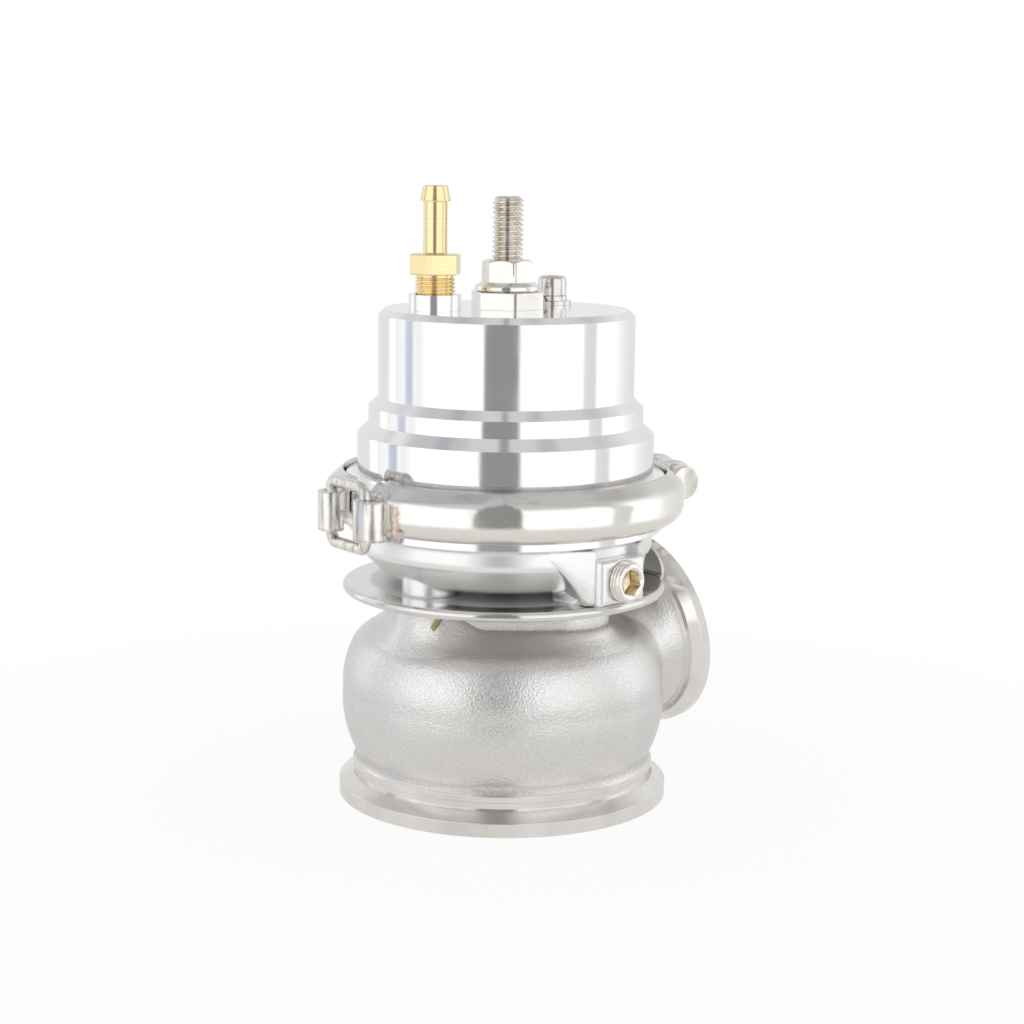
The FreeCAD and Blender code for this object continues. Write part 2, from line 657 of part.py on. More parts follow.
def base_shell():
    """Cast bowl: rounded floor, short wall, machined lip and clamp flange."""
    z = SHIELD_TOP
    rim = JOINT_Z - BASE_FLANGE_RIM
    bevel = rim - BASE_FLANGE_BEVEL
    shelf = JOINT_Z - BEAD
    low = z + BASE_CONE_LOW
    high = low + BASE_CONE_HIGH_R - BASE_CONE_LOW_R
    foot = z + BASE_WALL_FOOT
    seal_top = SEAL_Z + SEAL_HEIGHT + CIRCLIP + SEAL_BOSS_SPARE
    inside = bowl_inside()
    return turned([
        (0, BASE_Z), (BASE_FLOOR_R, BASE_Z),
        (((BASE_FLOOR_R + BASE_CONE_LOW_R) / 2 + 0.4, (BASE_Z + low) / 2 - 0.5), (BASE_CONE_LOW_R, low)),
        (BASE_CONE_HIGH_R, high), ((BASE_WALL_R - 0.3, (high + foot) / 2), (BASE_WALL_R, foot)),
        (BASE_WALL_R, z + BASE_WALL_TOP), (BASE_LIP_R, z + BASE_LIP_FOOT),
        (BASE_LIP_R, bevel), (FLANGE_R - BEVEL_RUN, bevel), (FLANGE_R, rim), (FLANGE_R, JOINT_Z),
        (BEAD_OUT_R, JOINT_Z), (BEAD_OUT_R, shelf), (inside[-1][0], shelf)] + inside[::-1] + [
        (SEAL_BOSS_R + 0.8, FLOOR_Z), (SEAL_BOSS_R, seal_top), (0, seal_top)])


def port_block():
    """Boss for the signal port; its sides flare out into the bowl."""
    half = PORT_BLOCK_HALF
    root = PORT_BLOCK_ROOT_HALF
    mid = PORT_FACE - PORT_FLANK
    start = PORT_BLOCK_ROOT
    hollow = 1.4
    spread = 3.2
    low = SHIELD_TOP
    edges = [
        Part.makeLine(Vec(PORT_FACE, -half, low), Vec(PORT_FACE, half, low)),
        Part.makeLine(Vec(PORT_FACE, half, low), Vec(mid, half, low)),
        Part.Arc(Vec(mid, half, low), Vec(start + hollow, half + spread, low),
                 Vec(start, root, low)).toShape(),
        Part.makeLine(Vec(start, root, low), Vec(start - 12, 0, low)),
        Part.makeLine(Vec(start - 12, 0, low), Vec(start, -root, low)),
        Part.Arc(Vec(start, -root, low), Vec(start + hollow, -half - spread, low),
                 Vec(mid, -half, low)).toShape(),
        Part.makeLine(Vec(mid, -half, low), Vec(PORT_FACE, -half, low)),
    ]
    block = Part.Face(Part.Wire(edges)).extrude(Vec(0, 0, PORT_BLOCK_HEIGHT))
    upright = []
    for edge in block.Edges:
        if edge.BoundBox.XMin > PORT_FACE - 0.1:
            upright.append(edge)
    block = block.makeFillet(PORT_EDGE_R, upright)
    for side in (1, -1):
        wedge = Part.makeBox(40, 30, 12, Vec(start - 20, 0, -12))
        if side < 0:
            wedge.translate(Vec(0, -30, 0))
        wedge.rotate(ORIGIN, Vec(1, 0, 0), side * PORT_SLOPE)
        wedge.translate(Vec(0, side * (half + 0.2), low + PORT_SLOPE_RISE))
        block = block.cut(wedge)
    block.rotate(ORIGIN, UP, PORT_DIRECTION)
    return block


def port_thread(radius, depth, extra=0.0):
    hole = rod(radius, -depth, extra)
    return laid(hole, toward(PORT_DIRECTION, PORT_FACE, PORT_Z), PORT_DIRECTION)


def actuator_base():
    shape = base_shell()
    for place in base_bolt_places():
        shape = shape.fuse(moved(rod(BOSS_R, SHIELD_TOP, FLOOR_Z - 0.5), place))
    inside = turned([(0, FLOOR_Z)] + bowl_inside() + [(BASE_WALL_R - BASE_WALL, JOINT_Z), (0, JOINT_Z)])
    shape = shape.fuse(port_block().cut(inside))
    for place in base_bolt_places():
        shape = shape.cut(moved(rod(BASE_BOLT_HEAD_R + 0.4, FLOOR_Z, FLOOR_Z + 9), place))
        shape = shape.cut(moved(rod(BASE_BOLT_R + BOLT_CLEARANCE, SHIELD_TOP - 1, FLOOR_Z + 1), place))
    shape = shape.cut(rod(STEM_R + BOLT_CLEARANCE, BASE_Z - 1, SEAL_Z + 1))
    top = SEAL_Z + SEAL_HEIGHT + CIRCLIP + 2
    shape = shape.cut(rod(SEAL_OUTER_R + PRESSED, SEAL_Z, top))
    shape = shape.cut(rod(CIRCLIP_R, SEAL_Z + SEAL_HEIGHT, SEAL_Z + SEAL_HEIGHT + CIRCLIP))
    shape = shape.cut(port_thread(PORT_THREAD_R + RUNNING, PORT_THREAD_DEPTH, 1))
    mouth = turned([(0, 0.1), (PORT_THREAD_R + 0.6, 0.1), (PORT_THREAD_R, -0.6), (0, -0.6)])
    shape = shape.cut(laid(mouth, toward(PORT_DIRECTION, PORT_FACE, PORT_Z), PORT_DIRECTION))
    passage = rod(PORT_PASSAGE_R, -16, -PORT_THREAD_DEPTH + 1)
    shape = shape.cut(laid(passage, toward(PORT_DIRECTION, PORT_FACE, PORT_Z + PORT_PASSAGE_RISE),
                           PORT_DIRECTION))
    return shape.removeSplitter()


def base_bolts():
    """Four socket-head screws from inside the bowl into the square flange."""
    screws = []
    top = FLOOR_Z + BASE_BOLT_HEAD
    edge = 0.5
    for place in base_bolt_places():
        head = turned([(0, FLOOR_Z), (BASE_BOLT_HEAD_R, FLOOR_Z), (BASE_BOLT_HEAD_R, top - edge),
                       (BASE_BOLT_HEAD_R - edge, top), (0, top)])
        head = head.cut(hexagon(BASE_BOLT_SOCKET, top - BASE_BOLT_HEAD / 2, top + 1))
        shank = rod(BASE_BOLT_R, FLOOR_Z - BASE_BOLT_LENGTH, FLOOR_Z)
        screws.append(moved(head.fuse(shank).removeSplitter(), place))
    return Part.makeCompound(screws)


def port_plug():
    """Taper-thread plug with a hexagon socket, standing a little proud."""
    top = PLUG_PROUD
    body = turned([
        (0, -PORT_THREAD_DEPTH + 1), (PORT_THREAD_R - 0.5, -PORT_THREAD_DEPTH + 1),
        (PORT_THREAD_R, -PORT_THREAD_DEPTH + 1.5), (PORT_THREAD_R, top - PLUG_CHAMFER),
        (PORT_THREAD_R - PLUG_CHAMFER, top), (0, top)])
    body = body.cut(hexagon(PLUG_SOCKET, top - PLUG_SOCKET_DEPTH, top + 1, 12.0))
    return laid(body, toward(PORT_DIRECTION, PORT_FACE, PORT_Z), PORT_DIRECTION)


def stem_seal():
    """Lip seal round the stem in the floor of the bowl."""
    return turned([
        (STEM_R + O_RING_CLEARANCE, SEAL_Z + 0.8), (STEM_R + 1.4, SEAL_Z), (SEAL_OUTER_R, SEAL_Z),
        (SEAL_OUTER_R, SEAL_Z + SEAL_HEIGHT), (STEM_R + 1.4, SEAL_Z + SEAL_HEIGHT),
        (STEM_R + O_RING_CLEARANCE, SEAL_Z + SEAL_HEIGHT - 0.8)])


def seal_circlip():
    """Open ring that keeps the seal in its bore."""
    low = SEAL_Z + SEAL_HEIGHT
    ring = tube(CIRCLIP_BORE_R, CIRCLIP_R - 0.1, low, low + CIRCLIP)
    mouth = Part.makeBox(CIRCLIP_R, 3.0, 3 * CIRCLIP, Vec(0, -1.5, low - CIRCLIP))
    return ring.cut(mouth)


# ---- diaphragm and springs --------------------------------------------------------------
def diaphragm():
    """Moulded rubber: clamped bead, rolled web and flat centre."""
    bead_z = JOINT_Z - BEAD
    flat_z = DIAPHRAGM_Z
    edge = LOWER_PISTON_R + 0.4
    return turned([
        (STEM_THREAD_R + RUNNING, flat_z), (edge, flat_z),
        ((edge + 2.6, flat_z + 2.2), (BEAD_IN_R - 1.2, bead_z)),
        (BEAD_OUT_R - 0.05, bead_z), (BEAD_OUT_R - 0.05, JOINT_Z), (BEAD_IN_R, JOINT_Z),
        (BEAD_IN_R - 0.6, bead_z + RUBBER + 0.2), (BEAD_IN_R - 2.4, bead_z + RUBBER - 0.4),
        ((edge + 1.3, flat_z + 2.9), (edge - 0.9, flat_z + RUBBER)),
        (STEM_THREAD_R + RUNNING, flat_z + RUBBER)])


def coil_spring(radius, wire_r, turns):
    """Round wire wound to a helix; its surface is two smooth strips between end faces."""
    low = SPRING_Z + wire_r
    rise = SPRING_LENGTH - 2 * wire_r
    slope = math.atan2(rise, 2 * math.pi * radius * turns)
    steps = round(turns * SPRING_STEPS)

    def spot(step, angle):
        """Point on the wire: a step along it and an angle round its section."""
        turn = 2 * math.pi * turns * step / steps
        up = wire_r * math.sin(angle)
        reach = radius + wire_r * math.cos(angle)
        lag = -up * math.sin(slope)
        return Vec(reach * math.cos(turn) - lag * math.sin(turn),
                   reach * math.sin(turn) + lag * math.cos(turn),
                   low + rise * step / steps + up * math.cos(slope))

    faces = []
    for half in (0, 1):
        grid = []
        for step in range(steps + 1):
            grid.append([spot(step, math.pi * (half + k / WIRE_STEPS)) for k in range(WIRE_STEPS + 1)])
        strip = Part.BSplineSurface()
        strip.interpolate(grid)
        faces.append(strip.toShape())
    for step in (0, steps):
        rim = []
        for face in faces[:2]:
            for edge in face.Edges:
                middle = edge.valueAt((edge.FirstParameter + edge.LastParameter) / 2)
                ends = [(spot(step, math.pi * (k + 0.5)) - middle).Length for k in (0, 1)]
                if min(ends) < wire_r / 2:
                    rim.append(edge)
        faces.append(Part.Face(Part.Wire(rim)))
    shell = Part.makeShell(faces)
    shell.sewShape()
    return Part.Solid(shell)


def spring_seat():
    """Upper spring seat with a pilot between the springs and a hub for the stud."""
    z = SPRING_TOP
    between = (OUTER_SPRING_R - OUTER_SPRING_WIRE_R + INNER_SPRING_R + INNER_SPRING_WIRE_R) / 2
    hub = SPRING_SEAT_TOP + SPRING_SEAT_HUB
    return turned([
        (0, z), (between - 1.8, z), (between - 1.3, z - SPRING_PILOT), (between + 1.3, z - SPRING_PILOT),
        (between + 1.8, z), (SPRING_SEAT_R - 0.6, z), (SPRING_SEAT_R, z + 0.6),
        (SPRING_SEAT_R, SPRING_SEAT_TOP - 0.6), (SPRING_SEAT_R - 0.6, SPRING_SEAT_TOP),
        (SPRING_SEAT_HUB_R + 1, SPRING_SEAT_TOP), (SPRING_SEAT_HUB_R, hub),
        (STUD_R + LOOSE, hub), (STUD_R + LOOSE, STUD_Z), (0, STUD_Z)])


# ---- actuator cap -----------------------------------------------------------------------
def cap_shell():
    top = CAP_TOP
    middle = JOINT_Z + CAP_MIDDLE_TOP
    foot = JOINT_Z + CAP_FOOT_TOP
    rim = JOINT_Z + CAP_FLANGE_RIM
    bevel = rim + CAP_FLANGE_BEVEL
    skirt = JOINT_Z + CAP_SKIRT_DEPTH
    return turned([
        (0, CAP_CEILING), (CAP_BORE_R - 2.4, CAP_CEILING), (CAP_BORE_R, CAP_CEILING - 2.4),
        (CAP_BORE_R, skirt + 4.9), (CAP_SKIRT_BORE_R, skirt), (CAP_SKIRT_BORE_R, JOINT_Z + 3.0),
        (BEAD_IN_R + 0.2, JOINT_Z), (FLANGE_R, JOINT_Z), (FLANGE_R, rim), (FLANGE_R - BEVEL_RUN, bevel),
        (CAP_FOOT_R, bevel), (CAP_FOOT_R, foot), (CAP_MIDDLE_R, foot + CAP_FOOT_STEP),
        (CAP_MIDDLE_R, middle), (CAP_R, middle + CAP_MIDDLE_STEP), (CAP_R, top - CAP_EDGE),
        (CAP_R - CAP_EDGE, top), (0, top)])


def actuator_cap():
    shape = cap_shell()
    barb = toward(BARB_DIRECTION, FITTING_CIRCLE_R)
    vent = toward(VENT_DIRECTION, FITTING_CIRCLE_R)
    shape = shape.fuse(moved(rod(CAP_BOSS_R, CAP_TOP - 1, BARB_SEAT_Z), barb))
    hole = rod(BARB_THREAD_R + RUNNING, BARB_SEAT_Z - BARB_THREAD_IN - 0.6, BARB_SEAT_Z + 1)
    shape = shape.cut(moved(hole, barb))
    shape = shape.cut(moved(rod(BARB_BORE_R, CAP_CEILING - 1, BARB_SEAT_Z), barb))
    shape = shape.cut(moved(rod(VENT_SCREW_R + RUNNING, CAP_CEILING - 1, CAP_TOP + 1), vent))
    shape = shape.cut(rod(BUSH_THREAD_R + RUNNING, CAP_CEILING - 1, CAP_TOP + 1))
    return shape.removeSplitter()


def adjuster_bush():
    """Threaded bush with a hexagon, screwed into the top of the cap."""
    shape = hexagon(BUSH_FLATS, CAP_TOP, BUSH_TOP, BUSH_TURN)
    shape = shape.fuse(rod(BUSH_THREAD_R, CAP_CEILING, CAP_TOP + 0.1))
    shape = shape.cut(rod(STUD_R + RUNNING, CAP_CEILING - 1, BUSH_TOP + 1))
    groove = CAP_CEILING + 1.6
    shape = shape.cut(rod(STUD_R + 1.7, groove, groove + 2.2))
    return shape.removeSplitter()


def stud_seal():
    middle = CAP_CEILING + 1.6 + 1.1
    small = 0.8
    return Part.makeTorus(STUD_R + O_RING_CLEARANCE + small, small, Vec(0, 0, middle))


def adjuster_stud():
    top = LOCK_NUT_TOP + STUD_ABOVE_NUT
    return turned([
        (0, STUD_Z), (STUD_TIP_R, STUD_Z), (STUD_TIP_R, STUD_Z + STUD_TIP),
        (STUD_R, STUD_Z + STUD_TIP + 1.1), (STUD_R, top - 0.9), (STUD_R - 0.9, top), (0, top)])


def lock_nut():
    """Hexagon nut with a rounded flange."""
    low = LOCK_NUT_Z
    waist = low + LOCK_NUT_FLANGE
    skirt = turned([
        (0, low), (LOCK_NUT_FLANGE_R - 0.4, low),
        ((LOCK_NUT_FLANGE_R, low + 0.6), (LOCK_NUT_FLANGE_R - 0.5, low + 1.4)),
        (LOCK_NUT_FLATS / 2 + 0.4, waist), (0, waist)])
    flats = chamfered_hexagon(LOCK_NUT_FLATS, low + 0.5, LOCK_NUT_TOP, LOCK_NUT_TURN, True, False)
    nut = skirt.fuse(flats)
    return nut.cut(rod(STUD_R + RUNNING, low - 1, LOCK_NUT_TOP + 1)).removeSplitter()


def hose_barb():
    """Brass fitting: thread, hexagon, hose stem and one ridge."""
    foot = BARB_SEAT_Z - BARB_THREAD_IN
    hex_z = BARB_SEAT_Z + BARB_THREAD
    stem_z = hex_z + BARB_HEX
    ridge_z = stem_z + BARB_STEM
    top = ridge_z + BARB_CONE
    body = turned([
        (0, foot), (BARB_THREAD_R - 0.5, foot), (BARB_THREAD_R, foot + 0.5), (BARB_THREAD_R, hex_z),
        (BARB_STEM_R + 0.8, stem_z), (BARB_STEM_R, stem_z + 0.8), (BARB_STEM_R, ridge_z),
        (BARB_RIDGE_R, ridge_z), (BARB_TIP_R, top), (0, top)])
    body = body.fuse(chamfered_hexagon(BARB_FLATS, hex_z, stem_z, BARB_TURN))
    body = body.cut(rod(BARB_BORE_R, foot - 1, top + 1))
    return moved(body.removeSplitter(), toward(BARB_DIRECTION, FITTING_CIRCLE_R))


def vent_screw():
    low = CAP_TOP + VENT_WASHER + SPRING_WASHER
    top = low + VENT_HEAD
    head = turned([
        (0, low), (VENT_HEAD_R, low), (VENT_HEAD_R, top - 0.9),
        ((VENT_HEAD_R - 0.26, top - 0.26), (VENT_HEAD_R - 0.9, top)), (0, top)])
    head = head.cut(hexagon(VENT_SOCKET, top - 2.4, top + 1))
    shank = rod(VENT_SCREW_R, low - VENT_SCREW_LENGTH, low)
    return moved(head.fuse(shank).removeSplitter(), toward(VENT_DIRECTION, FITTING_CIRCLE_R))


def vent_washer():
    ring = tube(VENT_SCREW_R + RUNNING, VENT_WASHER_R, CAP_TOP, CAP_TOP + VENT_WASHER)
    return moved(ring, toward(VENT_DIRECTION, FITTING_CIRCLE_R))


def vent_spring_washer():
    low = CAP_TOP + VENT_WASHER
    ring = tube(VENT_SCREW_R + RUNNING, SPRING_WASHER_R, low, low + SPRING_WASHER)
    split = Part.makeBox(8, 0.7, 6, Vec(0, -0.35, low - 2))
    split.rotate(Vec(0, 0, low + 1), Vec(1, 0, 0), 30)
    split.rotate(ORIGIN, UP, -120)
    return moved(ring.cut(split), toward(VENT_DIRECTION, FITTING_CIRCLE_R))


# ---- clamp ------------------------------------------------------------------------------
def band(start, end):
    """Length of the V-section band between two directions."""
    top = JOINT_Z + BAND_TOP
    bottom = JOINT_Z - BAND_BOTTOM
    groove_r = FLANGE_R + LOOSE
    cap_rim = JOINT_Z + CAP_FLANGE_RIM + LOOSE * 0.5
    base_rim = JOINT_Z - BASE_FLANGE_RIM - LOOSE * 0.5
    cap_slope = CAP_FLANGE_BEVEL / BEVEL_RUN
    base_slope = BASE_FLANGE_BEVEL / BEVEL_RUN
    top_in = cap_rim + (groove_r - BAND_TOP_R) * cap_slope
    low_in = base_rim - (groove_r - BAND_BOTTOM_R) * base_slope
    crest_r = BAND_TOP_R + 0.3
    slope = math.radians(BAND_FLANK_SLOPE)
    lean = math.pi / 2 - slope
    flank_r = BAND_R - BAND_SHOULDER_R * (1 - math.cos(lean))
    flank_z = top - (flank_r - crest_r) * math.tan(slope)
    face_top = flank_z - BAND_SHOULDER_R * math.sin(lean)
    face_low = JOINT_Z - BAND_FACE_LOW
    heel = -math.asin((face_low - bottom) / BAND_HEEL_R)

    def round_point(radius, z, angle):
        return (BAND_R - radius * (1 - math.cos(angle)), z + radius * math.sin(angle))

    return turned([
        (BAND_TOP_R, top_in), (BAND_TOP_R, top - 0.2), (crest_r, top), (flank_r, flank_z),
        (round_point(BAND_SHOULDER_R, face_top, lean / 2), (BAND_R, face_top)), (BAND_R, face_low),
        (round_point(BAND_HEEL_R, face_low, heel / 2), round_point(BAND_HEEL_R, face_low, heel)),
        (BAND_BOTTOM_R, bottom), (BAND_BOTTOM_R, low_in), (groove_r, base_rim), (groove_r, cap_rim)],
        start, end - start)


def rolled_loop(direction, sign, length):
    """Strap rolled round one upright bar of the link and welded to the band."""
    bar = toward(direction, LINK_R)
    along = toward(direction + 90.0 * sign)
    low = JOINT_Z + LOOP_Z - LOOP_HEIGHT / 2
    lift = Vec(0, 0, low)
    outer = Part.makeCylinder(LOOP_R, LOOP_HEIGHT, bar + lift)
    far = Part.makeCylinder(LOOP_R, LOOP_HEIGHT, bar + along * length + lift)
    middle = Part.makeBox(length, 2 * LOOP_R, LOOP_HEIGHT, Vec(0, -LOOP_R, 0))
    middle.rotate(ORIGIN, UP, direction + 90.0 * sign)
    middle.translate(bar + lift)
    return outer.fuse(far).fuse(middle)


def loop_hole(direction, sign):
    """Hole for the bar, drawn out a little along the band."""
    bar = toward(direction, LINK_R)
    along = toward(direction + 90.0 * sign)
    radius = LINK_BAR_R + LINK_CLEARANCE
    low = Vec(0, 0, JOINT_Z + LOOP_Z - LOOP_HEIGHT / 2 - 1)
    height = LOOP_HEIGHT + 2
    near = Part.makeCylinder(radius, height, bar + low)
    far = Part.makeCylinder(radius, height, bar + along * LOOP_SLOT + low)
    slot = Part.makeBox(LOOP_SLOT, 2 * radius, height, Vec(0, -radius, 0))
    slot.rotate(ORIGIN, UP, direction + 90.0 * sign)
    slot.translate(bar + low)
    return near.fuse(far).fuse(slot)


def bolt_point(along=0.0):
    """Point on the closing bolt's axis; along grows towards the rear half."""
    return toward(CLAMP_SPLIT, BOLT_AXIS_R, BOLT_Z) + toward(CLAMP_SPLIT + 90.0) * along


def on_bolt(shape, along=0.0):
    """Places a shape built along +Z on the bolt's axis, +Z towards the rear half."""
    return laid(shape, bolt_point(along), CLAMP_SPLIT + 90.0)


def lug(radius, near, far):
    """Ear of a clamp half, round at its outer end and reaching in to the band."""
    thick = far - near
    end = on_bolt(Part.makeCylinder(radius, thick), near)
    arm = Part.makeBox(BOLT_AXIS_R - FLANGE_R - 1.4, thick, 2 * radius,
                       Vec(FLANGE_R + 1.4, near, BOLT_Z - radius))
    arm.rotate(ORIGIN, UP, CLAMP_SPLIT)
    return end.fuse(arm)


def gusset(sign):
    """Rounded web by which the band sweeps out into the ear."""
    inner = BAND_R - 1.2
    outer = BOLT_AXIS_R - 1.0
    face = sign * (LUG_GAP / 2 + LUG * 0.5)
    back = sign * (LUG_GAP / 2 + LUG - 0.05)
    low = BOLT_Z - GUSSET_HEIGHT / 2
    foot = Vec(inner - 1.6, sign * GUSSET_REACH, low)
    hollow = Vec(inner + 2.0, sign * (LUG_GAP / 2 + LUG + 3.5), low)
    edges = [
        Part.makeLine(Vec(inner, face, low), Vec(outer, face, low)),
        Part.makeLine(Vec(outer, face, low), Vec(outer, back, low)),
        Part.Arc(Vec(outer, back, low), hollow, foot).toShape(),
        Part.makeLine(foot, Vec(inner, face, low)),
    ]
    web = Part.Face(Part.Wire(edges)).extrude(Vec(0, 0, GUSSET_HEIGHT))
    web.rotate(ORIGIN, UP, CLAMP_SPLIT)
    return web


def bolt_room(sign, radius):
    """Space for the bolt through an ear and for the head or nut behind it."""
    hole = on_bolt(rod(CLAMP_BOLT_R + CLAMP_HOLE_PLAY, -GUSSET_REACH - 5, GUSSET_REACH + 5))
    start = LUG_GAP / 2 + LUG
    if sign > 0:
        return hole.fuse(on_bolt(rod(radius, start, start + GUSSET_REACH)))
    return hole.fuse(on_bolt(rod(radius, -start - GUSSET_REACH, -start)))


def link_direction(sign):
    return LINK_DIRECTION + sign * LINK_HALF_ANGLE


def clear_inside(shape):
    """Keeps loops and ears out of the band's groove."""
    return shape.cut(rod(FLANGE_R + LOOSE, JOINT_Z - 20, JOINT_Z + 20))


def clamp_half(sign, start, end, loop_length, lug_r, room_r):
    """Half of the clamp; sign is +1 for the front half's side of the link."""
    hinge = link_direction(sign)
    near = -LUG_GAP / 2 - LUG if sign > 0 else LUG_GAP / 2
    extra = rolled_loop(hinge, sign, loop_length).fuse(lug(lug_r, near, near + LUG))
    extra = extra.fuse(gusset(-sign))
    shape = band(start, end).fuse(clear_inside(extra))
    shape = shape.cut(loop_hole(hinge, sign)).cut(bolt_room(-sign, room_r))
    return shape.removeSplitter()


def clamp_front_half():
    room_r = CLAMP_BOLT_HEAD_R + CLAMP_HEAD_ROOM
    return clamp_half(1, FRONT_BAND_START, FRONT_BAND_END, FRONT_LOOP_LENGTH, FRONT_LUG_R, room_r)


def clamp_rear_half():
    room_r = CLAMP_NUT_FLATS / math.sqrt(3) + CLAMP_HEAD_ROOM
    return clamp_half(-1, REAR_BAND_START, REAR_BAND_END, REAR_LOOP_LENGTH, REAR_LUG_R, room_r)


def ring_link():
    """Closed ring of round bar that hinges both clamp halves."""
    one = toward(link_direction(1), LINK_R)
    two = toward(link_direction(-1), LINK_R)
    middle = (one + two) * 0.5
    across = (two - one)
    half = across.Length / 2
    across.normalize()
    tall = LINK_HEIGHT / 2 - LINK_BAR_R
    z = JOINT_Z + LOOP_Z
    c = LINK_CORNER
    k = c * (1 - math.sqrt(0.5))

    def spot(x, y):
        return middle + across * x + Vec(0, 0, z + y)

    edges = [Part.makeLine(spot(half, -tall + c), spot(half, tall - c)),
             Part.Arc(spot(half, tall - c), spot(half - k, tall - k), spot(half - c, tall)).toShape(),
             Part.makeLine(spot(half - c, tall), spot(-half + c, tall)),
             Part.Arc(spot(-half + c, tall), spot(-half + k, tall - k), spot(-half, tall - c)).toShape(),
             Part.makeLine(spot(-half, tall - c), spot(-half, -tall + c)),
             Part.Arc(spot(-half, -tall + c), spot(-half + k, -tall + k), spot(-half + c, -tall)).toShape(),
             Part.makeLine(spot(-half + c, -tall), spot(half - c, -tall)),
             Part.Arc(spot(half - c, -tall), spot(half - k, -tall + k), spot(half, -tall + c)).toShape()]
    section = Part.Wire([Part.makeCircle(LINK_BAR_R, spot(half, -tall + c), UP)])
    return Part.Wire(edges).makePipeShell([section], True, True)


def clamp_bolt():
    """Plain round head with a turned edge, seated on its washer."""
    seat = -LUG_GAP / 2 - LUG - LOOSE - CLAMP_WASHER - CLAMP_HEAD_GAP
    head_top = seat - CLAMP_BOLT_HEAD
    tail = LUG_GAP / 2 + LUG + CLAMP_NUT + CLAMP_BOLT_SPARE
    chamfer = CLAMP_BOLT_CHAMFER
    shape = turned([
        (0, head_top), (CLAMP_BOLT_HEAD_R - chamfer, head_top), (CLAMP_BOLT_HEAD_R, head_top + chamfer),
        (CLAMP_BOLT_HEAD_R, seat), (CLAMP_BOLT_R, seat), (CLAMP_BOLT_R, tail - 0.6),
        (CLAMP_BOLT_R - 0.6, tail), (0, tail)])
    return on_bolt(shape)


def clamp_washer():
    high = -LUG_GAP / 2 - LUG - LOOSE
    return on_bolt(tube(CLAMP_BOLT_R + RUNNING, CLAMP_WASHER_R, high - CLAMP_WASHER, high))


def clamp_nut():
    low = LUG_GAP / 2 + LUG
    nut = chamfered_hexagon(CLAMP_NUT_FLATS, low, low + CLAMP_NUT, 10.0)
    return on_bolt(nut.cut(rod(CLAMP_BOLT_R + RUNNING, low - 1, low + CLAMP_NUT + 1)))


NODES = {
    "valve_housing": valve_housing,
    "valve_seat": valve_seat,
    "valve_guide": valve_guide,
    "valve": valve,
    "piston_lower": piston_lower,
    "piston_upper": piston_upper,
    "stem_washer": stem_washer,
    "stem_nut": stem_nut,
    "shield_gasket": shield_gasket,
    "heat_shield": heat_shield,
    "actuator_base": actuator_base,
    "base_bolts": base_bolts,
    "port_plug": port_plug,
    "stem_seal": stem_seal,
    "seal_circlip": seal_circlip,
    "diaphragm": diaphragm,
    "outer_spring": lambda: coil_spring(OUTER_SPRING_R, OUTER_SPRING_WIRE_R, OUTER_SPRING_TURNS),
    "inner_spring": lambda: coil_spring(INNER_SPRING_R, INNER_SPRING_WIRE_R, INNER_SPRING_TURNS),
    "spring_seat": spring_seat,
    "actuator_cap": actuator_cap,
    "adjuster_bush": adjuster_bush,
    "stud_seal": stud_seal,
    "adjuster_stud": adjuster_stud,
    "lock_nut": lock_nut,
    "hose_barb": hose_barb,
    "vent_screw": vent_screw,
    "vent_washer": vent_washer,
    "vent_spring_washer": vent_spring_washer,
    "clamp_front_half": clamp_front_half,
    "clamp_rear_half": clamp_rear_half,
    "ring_link": ring_link,
    "clamp_bolt": clamp_bolt,
    "clamp_washer": clamp_washer,
    "clamp_nut": clamp_nut,
}


def main():
    os.makedirs("parts", exist_ok=True)
    for name, build in NODES.items():
        build().exportStep("parts/" + name + ".step")


main()
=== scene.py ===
import json
import math

import bmesh
import bpy
from mathutils import Matrix, Vector
from mathutils.bvhtree import BVHTree


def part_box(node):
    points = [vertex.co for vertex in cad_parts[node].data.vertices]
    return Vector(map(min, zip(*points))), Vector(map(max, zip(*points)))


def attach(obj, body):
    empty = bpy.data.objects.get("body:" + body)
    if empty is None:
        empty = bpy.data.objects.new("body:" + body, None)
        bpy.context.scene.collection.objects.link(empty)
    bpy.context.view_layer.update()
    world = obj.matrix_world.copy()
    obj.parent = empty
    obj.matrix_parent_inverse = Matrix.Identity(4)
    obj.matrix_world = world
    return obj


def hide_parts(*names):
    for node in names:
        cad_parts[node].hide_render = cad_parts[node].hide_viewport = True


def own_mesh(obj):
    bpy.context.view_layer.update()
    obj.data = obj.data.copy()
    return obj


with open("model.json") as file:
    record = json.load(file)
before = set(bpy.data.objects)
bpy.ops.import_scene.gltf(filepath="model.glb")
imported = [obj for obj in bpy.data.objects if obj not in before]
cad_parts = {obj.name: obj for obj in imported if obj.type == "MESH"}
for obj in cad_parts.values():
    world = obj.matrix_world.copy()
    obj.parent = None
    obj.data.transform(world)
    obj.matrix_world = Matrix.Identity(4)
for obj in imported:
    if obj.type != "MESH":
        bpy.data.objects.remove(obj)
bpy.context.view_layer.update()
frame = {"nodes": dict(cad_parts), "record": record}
MM = 0.001
nodes = frame["nodes"]

